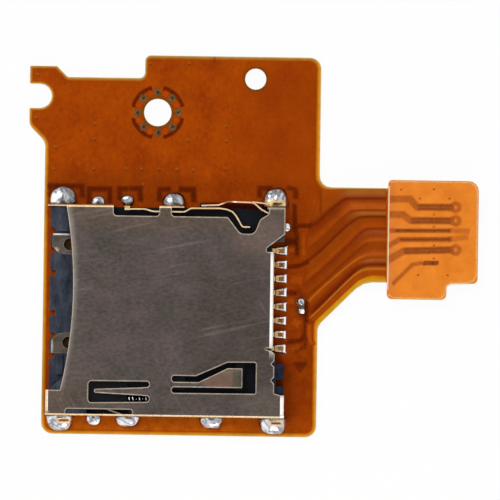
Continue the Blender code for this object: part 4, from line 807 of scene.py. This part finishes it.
# Painted highlights along the lugs' edges.
painted_edge_highlights(lug_steel, (168, 158, 146), radius=0.08, breakup=0.6, strength=0.5)
LINE = {"soft": 0.3, "square": True}
GLINT = {"soft": 0.6, "strength": 0.8, "patch": 4000}
LUG_LIGHTS = [
    ((-8.20, 5.96), (0.62, 0.09), (196, 190, 182), (228, 222, 214), LINE),
    ((-8.62, 4.72), (0.22, 0.16), (150, 144, 136), (206, 200, 192), GLINT),
    ((-8.00, -1.62), (0.45, 0.08), (180, 176, 168), (214, 208, 200), LINE),
    ((-8.86, -2.90), (0.12, 0.50), (150, 146, 140), (190, 186, 180), {"soft": 0.6, "strength": 0.7}),
]
for centre, reach, dark, light, how in LUG_LIGHTS:
    stain(lug_steel, (*centre, 0.8), (*reach, 1), dark, light, **how)
dress(["insert_plate"], lug_steel)

# Contacts and card switch: strips of phosphor bronze, stamped, formed and gilded. The moulding holds
# them, and their tails run out under the shell's edge.

contact_gilt = finish(
    "contact_gilt", (204, 160, 92), (240, 206, 142), rough=0.3, metal=1.0, patch=1800, grain=8000
)
stain(
    contact_gilt, (9.16, 1.03, 0.6), (0.20, 4.6, 1), (104, 66, 30), (150, 100, 52),
    soft=0.25, square=True, patch=3000,
)
dress([n for n in nodes if n.startswith("contact_")], contact_gilt)
switch_gilt = finish(
    "switch_gilt", (196, 146, 84), (240, 200, 138), rough=0.28, metal=1.0, patch=1500, grain=8000
)
# Painted highlights along the strip's edges.
painted_edge_highlights(switch_gilt, (255, 236, 204), radius=0.05)
# A painted glint on the switch strip, and a darker patch beside it.
stain(switch_gilt, (5.42, 8.70, 1.8), (0.14, 0.20, 1), (255, 250, 238))
stain(switch_gilt, (4.90, 8.66, 1.8), (0.36, 0.20, 1), (150, 104, 56), (180, 132, 76))
dress(["detect_spring", "detect_contact"], switch_gilt)

# Branch of the switch's fixed strip: the strip, of the same gilt bronze, forks at its bend. A short
# branch of it runs on to the solder at the corner.

BRANCH = [(6.84, 8.70), (7.20, 8.66), (7.60, 8.62), (8.04, 8.54)]
BRANCH_LOW, BRANCH_HIGH, BRANCH_HALF = 1.30, 1.82, 0.045
CORNERS = [
    (-BRANCH_HALF, BRANCH_LOW), (-BRANCH_HALF, BRANCH_HIGH),
    (BRANCH_HALF, BRANCH_HIGH), (BRANCH_HALF, BRANCH_LOW),
]
bm = bmesh.new()
walls = [[bm.verts.new((x, y + side, z)) for x, y in BRANCH] for side, z in CORNERS]
skin(bm, [*walls, walls[0]])
for end in (0, -1):
    bm.faces.new([wall[end] for wall in walls])
bmesh.ops.recalc_face_normals(bm, faces=bm.faces)
piece("detect_contact_branch", bm, [switch_gilt])

# Slider, card lock and cam pin: the slider is black acetal, pushed in by the card. A steel leaf on it
# holds the card's notch, and a bent steel wire runs round its heart-shaped groove.

acetal = finish("black_acetal", (10, 11, 15), (22, 25, 32), rough=0.4, shine=0.12, bump=2e-6, grain=8000)
dress(["slider"], acetal)
bright_steel = finish("bright_steel", (130, 126, 120), (172, 168, 162), rough=0.25, metal=1.0, grain=9000)
dress(["card_lock_spring", "cam_pin"], bright_steel)

# Coil spring: music wire wound in 22 turns with closed ends. It pushes the slider back; in the real socket it
# shortens as the card goes in, but here it is drawn at one length.

COIL_Y, COIL_Z, COIL_RADIUS, WIRE = -6.95, 1.38, 0.40, 0.20
COIL_LEFT, COIL_RIGHT, TURNS = -2.72, 8.12, 22
STEPS_PER_TURN, WIRE_SIDES = 28, 10


def coil_point(turn):
    """The wire's centre after so many turns, with a closed turn at each end."""
    closed = 1.1 * WIRE
    pitch = (COIL_RIGHT - COIL_LEFT - 2 * closed) / (TURNS - 2)
    closed_turns = min(turn, 1) + max(turn - TURNS + 1, 0)
    along = closed_turns * closed + min(max(turn - 1, 0), TURNS - 2) * pitch
    angle = math.tau * turn
    return Vector((
        COIL_LEFT + along,
        COIL_Y + COIL_RADIUS * math.cos(angle),
        COIL_Z + COIL_RADIUS * math.sin(angle),
    ))


bm = bmesh.new()
rings = []
for i in range(TURNS * STEPS_PER_TURN + 1):
    turn = i / STEPS_PER_TURN
    here = coil_point(turn)
    ahead = (coil_point(turn + 0.01) - coil_point(turn - 0.01)).normalized()
    out = Vector((0, here.y - COIL_Y, here.z - COIL_Z)).normalized()
    out = (out - ahead * out.dot(ahead)).normalized()
    across = ahead.cross(out)
    rings.append([bm.verts.new(here + out * x + across * y) for x, y in ring(0, 0, WIRE / 2, WIRE_SIDES)])
skin(bm, rings, closed=True)
bm.faces.new(rings[0])
bm.faces.new(rings[-1])
bmesh.ops.recalc_face_normals(bm, faces=bm.faces)


def make_tilt():
    """A mask that is white where a face leans away from level, and how far each face looks up."""
    inputs = [("Level", "Float", 0.97), ("Steep", "Float", 0.75)]
    tree, given, out = group("tilt", inputs, [("Mask", "Float"), ("Up", "Float")])
    rise = add(tree, "SeparateXYZ", {0: add(tree, "TexCoord").outputs["Normal"]}).outputs["Z"]
    feed(tree, out, {"Mask": spread(tree, rise, given["Level"], given["Steep"]), "Up": rise})
    return tree


tilt = make_tilt()


def leaning(made, level, steep, *colours, **pattern):
    """Draws the material's leaning faces in other colours."""
    overlay(made, tilt, {"Level": level, "Steep": steep}, *colours, **pattern)


# Painted light: the wire is white where it faces straight up, a painted glint, and near black on its flanks,
# painted shade.
spring_steel = finish("spring_steel", (222, 222, 224), (250, 250, 252), rough=0.2, metal=1.0, grain=9000)
leaning(spring_steel, 0.985, 0.90, (24, 25, 30), (52, 54, 60))
coil = piece("coil_spring_wire", bm, [spring_steel], smooth=True)
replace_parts(coil, "coil_spring")
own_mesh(coil)

# Shell: one folded sheet of nickel-plated steel, satin on its faces. Its faces are painted dark, as a painted
# reflection of a dark room above, with lighter and darker patches of painted reflection, and its edges and
# folds carry painted highlights.

SATIN = {"patch": 620, "grain": 3800, "share": 0.55, "stretch": (0.7, 1.1, 1)}
shell_steel = finish(
    "satin_steel", (66, 64, 58), (94, 82, 80), rough=0.40, metal=1.0, bump=1.5e-6, **SATIN,
)
# Painted reflections: soft lighter and darker patches over the shell's faces.
SHELL_REFLECTIONS = [
    ((-2.0, 7.6, 2), (8.4, 1.3, 9), (76, 66, 58), (100, 86, 77), 0.80),
    ((7.4, 6.2, 2), (2.2, 2.0, 9), (90, 78, 70), (108, 92, 84), 0.80),
    ((-6.6, -7.0, 2), (3.4, 1.6, 9), (76, 68, 61), (98, 84, 76), 0.80),
    ((7.9, -7.2, 2), (1.7, 1.3, 9), (84, 78, 70), (108, 98, 90), 0.80),
    ((6.2, -1.6, 2), (3.6, 5.6, 9), (62, 58, 53), (84, 74, 71), 0.80),
    ((-7.2, 1.0, 2), (1.0, 6.0, 9), (74, 70, 66), (96, 87, 83), 0.50),
]
for centre, reach, dark, light, strength in SHELL_REFLECTIONS:
    stain(shell_steel, centre, reach, dark, light, soft=0.6, strength=strength, **SATIN)
# The ejector's broad finger is bent, so it catches other light, and its tip the least.
for centre, reach in (((4.35, -5.60, 2.3), (1.25, 0.72, 1)), ((5.05, -5.10, 2.3), (0.45, 0.55, 1))):
    stain(shell_steel, centre, reach, (98, 78, 68), (114, 92, 80), soft=0.25, square=True, patch=900)
stain(
    shell_steel, (5.75, -5.30, 2.3), (0.27, 0.98, 1), (74, 69, 60), (94, 88, 77),
    soft=0.3, square=True, patch=1200,
)
# The entry edge is an arc whose centre lies far outside, and the sheet rolls up a little along it.
ENTRY_CENTRE, ENTRY_RADIUS, ROLL = (-42.83, 2.14), 35.56, 0.30
# A painted highlight: a lighter band along the rolled entry edge.
stain(
    shell_steel, (*ENTRY_CENTRE, 2.3), (ENTRY_RADIUS + ROLL, ENTRY_RADIUS + ROLL, 90), (116, 112, 106),
    (140, 134, 126), soft=0.28 / ENTRY_RADIUS, strength=0.85, patch=1500,
)
# The ears beside the entry lie flat again.
for y, dark, light in ((-7.30, (76, 66, 60), (98, 84, 76)), (8.90, (76, 66, 58), (100, 86, 77))):
    stain(shell_steel, (-8.90, y, 2.3), (0.95, 1.25, 1), dark, light, soft=0.15, square=True, **SATIN)


def make_hairlines():
    """A mask of thin broken scratches that run one way, crowded in some places and gone in others."""
    inputs = [("Turn", "Vector", (0, 0, 0)), ("Size", "Float", 900.0), ("Amount", "Float", 0.5)]
    tree, given, out = group("hairlines", inputs, [("Mask", "Float")])
    placed = {"Vector": add(tree, "TexCoord").outputs["Object"], "Rotation": given["Turn"]}
    turned = add(tree, "VectorRotate", placed, rotation_type="EULER_XYZ").outputs[0]
    pulled = calculate(tree, "MULTIPLY", turned, (0.09, 3.2, 1), kind="VectorMath")
    thin = spread(tree, clouds(tree, pulled, given["Size"]), 0.64, 0.70)
    crowded = spread(tree, clouds(tree, turned, 260.0), 0.48, 0.62)
    both = calculate(tree, "MULTIPLY", thin, crowded)
    feed(tree, out, {"Mask": calculate(tree, "MULTIPLY", both, given["Amount"])})
    return tree


hairlines = make_hairlines()
for turn, amount, size, dark, light in (
    (-12, 0.20, 1500, (124, 118, 110), (142, 136, 128)),
    (62, 0.14, 1300, (120, 112, 104), (136, 128, 120)),
):
    values = {"Turn": (0, 0, math.radians(turn)), "Size": size, "Amount": amount}
    overlay(shell_steel, hairlines, values, dark, light)
# Painted highlight: cream where the faces lean, along the rounded folds.
leaning(shell_steel, 0.96, 0.70, (196, 178, 156), (224, 208, 186), patch=1500)
leaning(shell_steel, 0.50, 0.20, (112, 105, 97), (140, 131, 121), patch=700, stretch=(0.5, 0.5, 2))
# Painted highlights along the shell's edges.
painted_edge_highlights(shell_steel, (160, 148, 132), (196, 182, 162), radius=0.20, breakup=0.5, patch=2400)
# Painted highlights: the folds along the back, front and contact side, and the edges of the two ears.
FOLD_HIGHLIGHTS = [
    ((-3.9, 8.24, 2.3), (5.3, 0.10, 0.25), (222, 184, 126), (248, 222, 176), 0.95),
    ((0.2, -8.28, 2.3), (9.5, 0.08, 0.25), (206, 162, 108), (244, 216, 172), 0.95),
    ((8.46, 0.95, 2.3), (0.14, 3.82, 0.35), (244, 242, 236), (255, 255, 252), 1.0),
    ((9.38, -7.40, 2.3), (0.15, 0.80, 0.35), (240, 236, 226), (255, 254, 248), 1.0),
    ((-9.17, -7.10, 2.3), (0.11, 0.95, 0.35), (222, 196, 164), (246, 228, 204), 0.95),
]
for centre, reach, dark, light, strength in FOLD_HIGHLIGHTS:
    stain(shell_steel, centre, reach, dark, light, soft=0.25, strength=strength, square=True, patch=2200)
dress(["shell"], shell_steel)

# Solder: tin alloy, melted against each foot and tail. It cools with a wavy skin, and its streaks of the room
# are painted reflections.


def solder_finish(name, dark, mid, bright, streaks=850.0):
    """Tin with painted reflections: streaks of sky and shade run round its flanks."""
    made = finish(name, mid, bright, rough=0.24, metal=1.0, bump=3e-6, patch=1800, grain=7000, share=0.2)
    tree = made.node_tree
    rise = add(tree, "Group", node_tree=tilt).outputs["Up"]
    wave = clouds(tree, add(tree, "TexCoord").outputs["Object"], streaks, distortion=1.2)
    moved = calculate(tree, "MULTIPLY_ADD", rise, 0.35, wave)
    stops = [(0.46, dark), (0.60, mid), (0.70, bright), (0.76, mid), (0.83, dark), (0.90, mid), (1.0, bright)]
    recolour(made, 0.85, ramp(tree, moved, stops))
    return made


# Painted shade: the back row's tin is a darker copy of the same solder.
tin_in_shade = solder_finish("tin_in_shade", (84, 84, 88), (146, 146, 150), (206, 208, 212))
# A painted highlight on the back left bead.
stain(tin_in_shade, (-8.90, 8.75, 1), (0.26, 0.50, 2), (255, 255, 255), soft=0.3)
stain(
    tin_in_shade, (8.70, 8.62, 1), (0.80, 0.24, 2), (190, 156, 104), (236, 206, 156),
    soft=0.2, square=True, patch=2600,
)
stain(tin_in_shade, (8.80, 8.60, 1), (0.36, 0.08, 2), (104, 70, 44), (140, 98, 64), soft=0.3, square=True)
# Painted light: the front row's tin is a lighter copy of the same solder.
tin_in_light = solder_finish("tin_in_light", (120, 116, 120), (206, 206, 214), (255, 255, 255))
for x in (-7.80, 8.92):
    for reach, dark, light in (
        ((0.58, 0.23, 2), (206, 178, 136), (250, 232, 200)),
        ((0.40, 0.09, 2), (112, 66, 34), (150, 96, 54)),
    ):
        stain(tin_in_light, (x, -8.72, 1), reach, dark, light, soft=0.25, square=True, patch=2600)

# How square a dome is from above, where 2 is an ellipse, and how it curves in and up towards its top.
SQUARENESS, CURVE_IN, CURVE_UP = 2.6, 0.62, 0.9
DOME_RINGS = 10


def bead(name, look, against=0, shift=(0, 0), grow=(0.10, 0.18)):
    """A dome of solder on its CAD node's place. With a side, it is a half dome against the shell's wall."""
    low, high = (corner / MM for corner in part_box(name))
    centre = (low + high) / 2 + Vector((*shift, 0))
    half = (high - low) / 2
    half.x += grow[0]
    half.y += grow[1] / 2
    if against:
        centre.y = low.y if against > 0 else high.y
        half.y *= 2
    seed = Vector((centre.x * 3.7, centre.y * 2.9, 5.0))
    steps = 22 if against else 28
    bm = bmesh.new()
    rows = []
    for j in range(DOME_RINGS + 1):
        rise = j / DOME_RINGS * math.pi / 2
        rows.append([])
        for i in range(steps + bool(against)):
            t = (math.pi * against if against else math.tau) * i / steps
            c, s = math.cos(t), math.sin(t)
            reach = (abs(c) ** SQUARENESS + abs(s) ** SQUARENESS) ** (-1 / SQUARENESS)
            reach *= math.cos(rise) ** CURVE_IN
            reach *= 1 + 0.08 * noise.noise(seed + Vector((c, s, rise)) * 1.5)
            x, y = centre.x + half.x * c * reach, centre.y + half.y * s * reach
            top = 1 - 0.16 * abs(noise.noise(seed + Vector((x, y, 0)) * 1.6))
            rows[-1].append(bm.verts.new((x, y, low.z + 2 * half.z * math.sin(rise) ** CURVE_UP * top)))
    skin(bm, rows, closed=not against)
    bm.faces.new(rows[0])
    if against:
        bm.faces.new([row[0] for row in rows] + [row[-1] for row in reversed(rows)])
    bmesh.ops.remove_doubles(bm, verts=bm.verts, dist=1e-4)
    bmesh.ops.recalc_face_normals(bm, faces=bm.faces)
    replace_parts(piece(f"{name}_skin", bm, [look], smooth=True), name)


for number in range(1, 10):
    back_row = number <= 4
    bead(f"shell_solder_{number}", tin_in_shade if back_row else tin_in_light, against=1 if back_row else -1)
bead("detect_spring_solder", tin_in_shade, grow=(0.08, 0.08))
bead("detect_contact_solder", tin_in_light, shift=(-0.14, 0.05), grow=(0.12, 0.26))

# Tail solder: a low frame of tin round each contact's tail, open in the middle, where the gilt shows.
# It is widest at the tail's end.

tail_tin = solder_finish("tail_tin", (70, 66, 64), (168, 164, 162), (255, 255, 255), streaks=2900.0)
# The white over each tail's end is a painted highlight.
for x, half, dark, light, how in (
    (9.56, 0.12, (236, 238, 244), (255, 255, 255), {"soft": 0.4, "patch": 3000}),
    (8.92, 0.20, (150, 128, 104), (232, 208, 176), {"soft": 0.3, "patch": 3600}),
):
    stain(tail_tin, (x, 1.03, 0.6), (half, 4.6, 1), dark, light, square=True, **how)
# The frame's rings, from the outer skirt over the crest to the inner edge: the x of both ends, the
# half width at the shell and at the tail's end, and the height.
TAIL_RINGS = [
    (8.66, 9.66, 0.29, 0.40, 0.49),
    (8.68, 9.64, 0.27, 0.37, 0.60),
    (8.74, 9.58, 0.22, 0.30, 0.69),
    (8.86, 9.42, 0.15, 0.18, 0.70),
    (8.90, 9.38, 0.13, 0.15, 0.64),
]
CORNER_CUT = 0.05


def tail_frame(name):
    """The tin round a tail, with eight points to each of its rings."""
    low, high = (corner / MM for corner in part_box(name))
    y = (low.y + high.y) / 2
    bm = bmesh.new()
    rings = []
    for left, right, narrow, wide, z in TAIL_RINGS:
        ends = [(left, -narrow), (right, -wide), (right, wide), (left, narrow)]
        points = []
        for i, (px, py) in enumerate(ends):
            for qx, qy in (ends[i - 1], ends[(i + 1) % 4]):
                share = CORNER_CUT / math.hypot(qx - px, qy - py)
                points.append((px + (qx - px) * share, py + (qy - py) * share))
        rings.append([])
        for i, (px, py) in enumerate(points):
            stray = noise.noise(Vector((px * 4, y, i)))
            rings[-1].append(bm.verts.new((px + 0.03 * stray, y + py * (1 + 0.2 * stray), z)))
    skin(bm, rings, closed=True)
    bmesh.ops.recalc_face_normals(bm, faces=bm.faces)
    if max(bm.faces, key=lambda face: face.calc_center_median().z).normal.z < 0:
        bmesh.ops.reverse_faces(bm, faces=bm.faces)
    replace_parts(piece(f"{name}_frame", bm, [tail_tin]), name)


for number in range(1, 9):
    tail_frame(f"tail_solder_{number}")

# Chip capacitor: a block of brown ceramic with a tinned cap at each end. The solder that holds it to the
# board covers each cap as a blob.

ceramic = finish("chip_ceramic", (74, 46, 28), (112, 76, 48), rough=0.45, grain=9000, share=0.5)
dress(["chip_capacitor"], ceramic)
chip_tin = solder_finish("chip_tin", (70, 70, 74), (158, 160, 162), (230, 232, 234))
# A painted highlight on the lower blob.
stain(chip_tin, (10.90, 0.14, 1.0), (0.14, 0.13, 1), (255, 255, 255))
BLOB_BASE = 0.50
CHIP_ENDS = [
    ("capacitor_solder_1", (10.72, 0.86), (0.35, 0.37, 0.62)),
    ("capacitor_solder_2", (10.79, 0.15), (0.33, 0.28, 0.60)),
]
for name, (x, y), size in CHIP_ENDS:
    bm = bmesh.new()
    bmesh.ops.create_icosphere(bm, subdivisions=4, radius=1)
    for vert in bm.verts:
        p = vert.co.copy()
        p /= (abs(p.x) ** 3 + abs(p.y) ** 3 + abs(p.z) ** 3) ** (1 / 3)
        p *= 1 + 0.10 * noise.noise(p * 1.5 + Vector((x * 9, y * 9, 0)))
        vert.co = (x + p.x * size[0], y + p.y * size[1], BLOB_BASE + max(p.z * size[2], -0.01))
    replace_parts(piece(f"{name}_skin", bm, [chip_tin], smooth=True), name)

# Floor, light and camera: a pale floor under soft studio light. The floor shows white to the camera and
# keeps the part's shadow.

bpy.ops.mesh.primitive_plane_add(size=3, location=(0, 0, -0.0002))
floor = bpy.context.object
floor.name = "floor"
white = finish("white_floor", (246, 246, 246), (252, 252, 252), rough=0.9, shine=0.0)
tree = white.node_tree
glow = add(tree, "Emission", {"Color": (1, 1, 1, 1), "Strength": 1.0}).outputs[0]
share = calculate(tree, "MULTIPLY", add(tree, "LightPath").outputs["Is Camera Ray"], 0.95)
shader = tree.nodes["Principled BSDF"].outputs[0]
both = add(tree, "MixShader", {0: share, 1: shader, 2: glow}).outputs[0]
feed(tree, tree.nodes["Material Output"], {"Surface": both})
floor.data.materials.append(white)

world = bpy.data.worlds.new("studio")
bpy.context.scene.world = world
world.use_nodes = True
tree = world.node_tree
rays = add(tree, "LightPath").outputs
seen = calculate(tree, "MAXIMUM", rays["Is Camera Ray"], rays["Is Glossy Ray"])
seen = calculate(tree, "MAXIMUM", seen, rays["Is Transmission Ray"])
sky = mixed(tree, seen, (0.46, 0.46, 0.46, 1), (1, 1, 1, 1))
feed(tree, tree.nodes["Background"], {"Color": sky})


def softbox(name, place, size, power, aim=(0.006, 0.005, 0)):
    """A square area lamp that faces the part."""
    data = bpy.data.lights.new(name, "AREA")
    data.shape = "SQUARE"
    data.size = size
    data.energy = power
    lamp = bpy.data.objects.new(name, data)
    lamp.location = place
    lamp.rotation_euler = (Vector(aim) - Vector(place)).to_track_quat("-Z", "Y").to_euler()
    bpy.context.scene.collection.objects.link(lamp)


softbox("key_light", (-0.25, 0.30, 0.55), 0.30, 1.7)
softbox("front_light", (0.15, -0.45, 0.30), 0.20, 1.0)

# The camera looks straight down, at a scale of 12.67 pixels to the millimetre. The frame's origin lies
# left of and below the middle of the picture.
PIXELS_PER_METRE = 12670
MIDDLE = 250
ORIGIN_X, ORIGIN_Y = 164.5, 311
TURN = math.radians(0.85)
data = bpy.data.cameras.new("camera")
data.lens = 800
data.sensor_width = 36
data.clip_start = 0.01
data.clip_end = 10
camera = bpy.data.objects.new("camera", data)
across = (MIDDLE - ORIGIN_X) / PIXELS_PER_METRE
along = (ORIGIN_Y - MIDDLE) / PIXELS_PER_METRE
camera.location = (
    across * math.cos(TURN) - along * math.sin(TURN),
    across * math.sin(TURN) + along * math.cos(TURN),
    0.877,
)
camera.rotation_euler = (0, 0, TURN)
bpy.context.scene.collection.objects.link(camera)
bpy.context.scene.camera = camera
bpy.context.scene.view_settings.view_transform = "Standard"
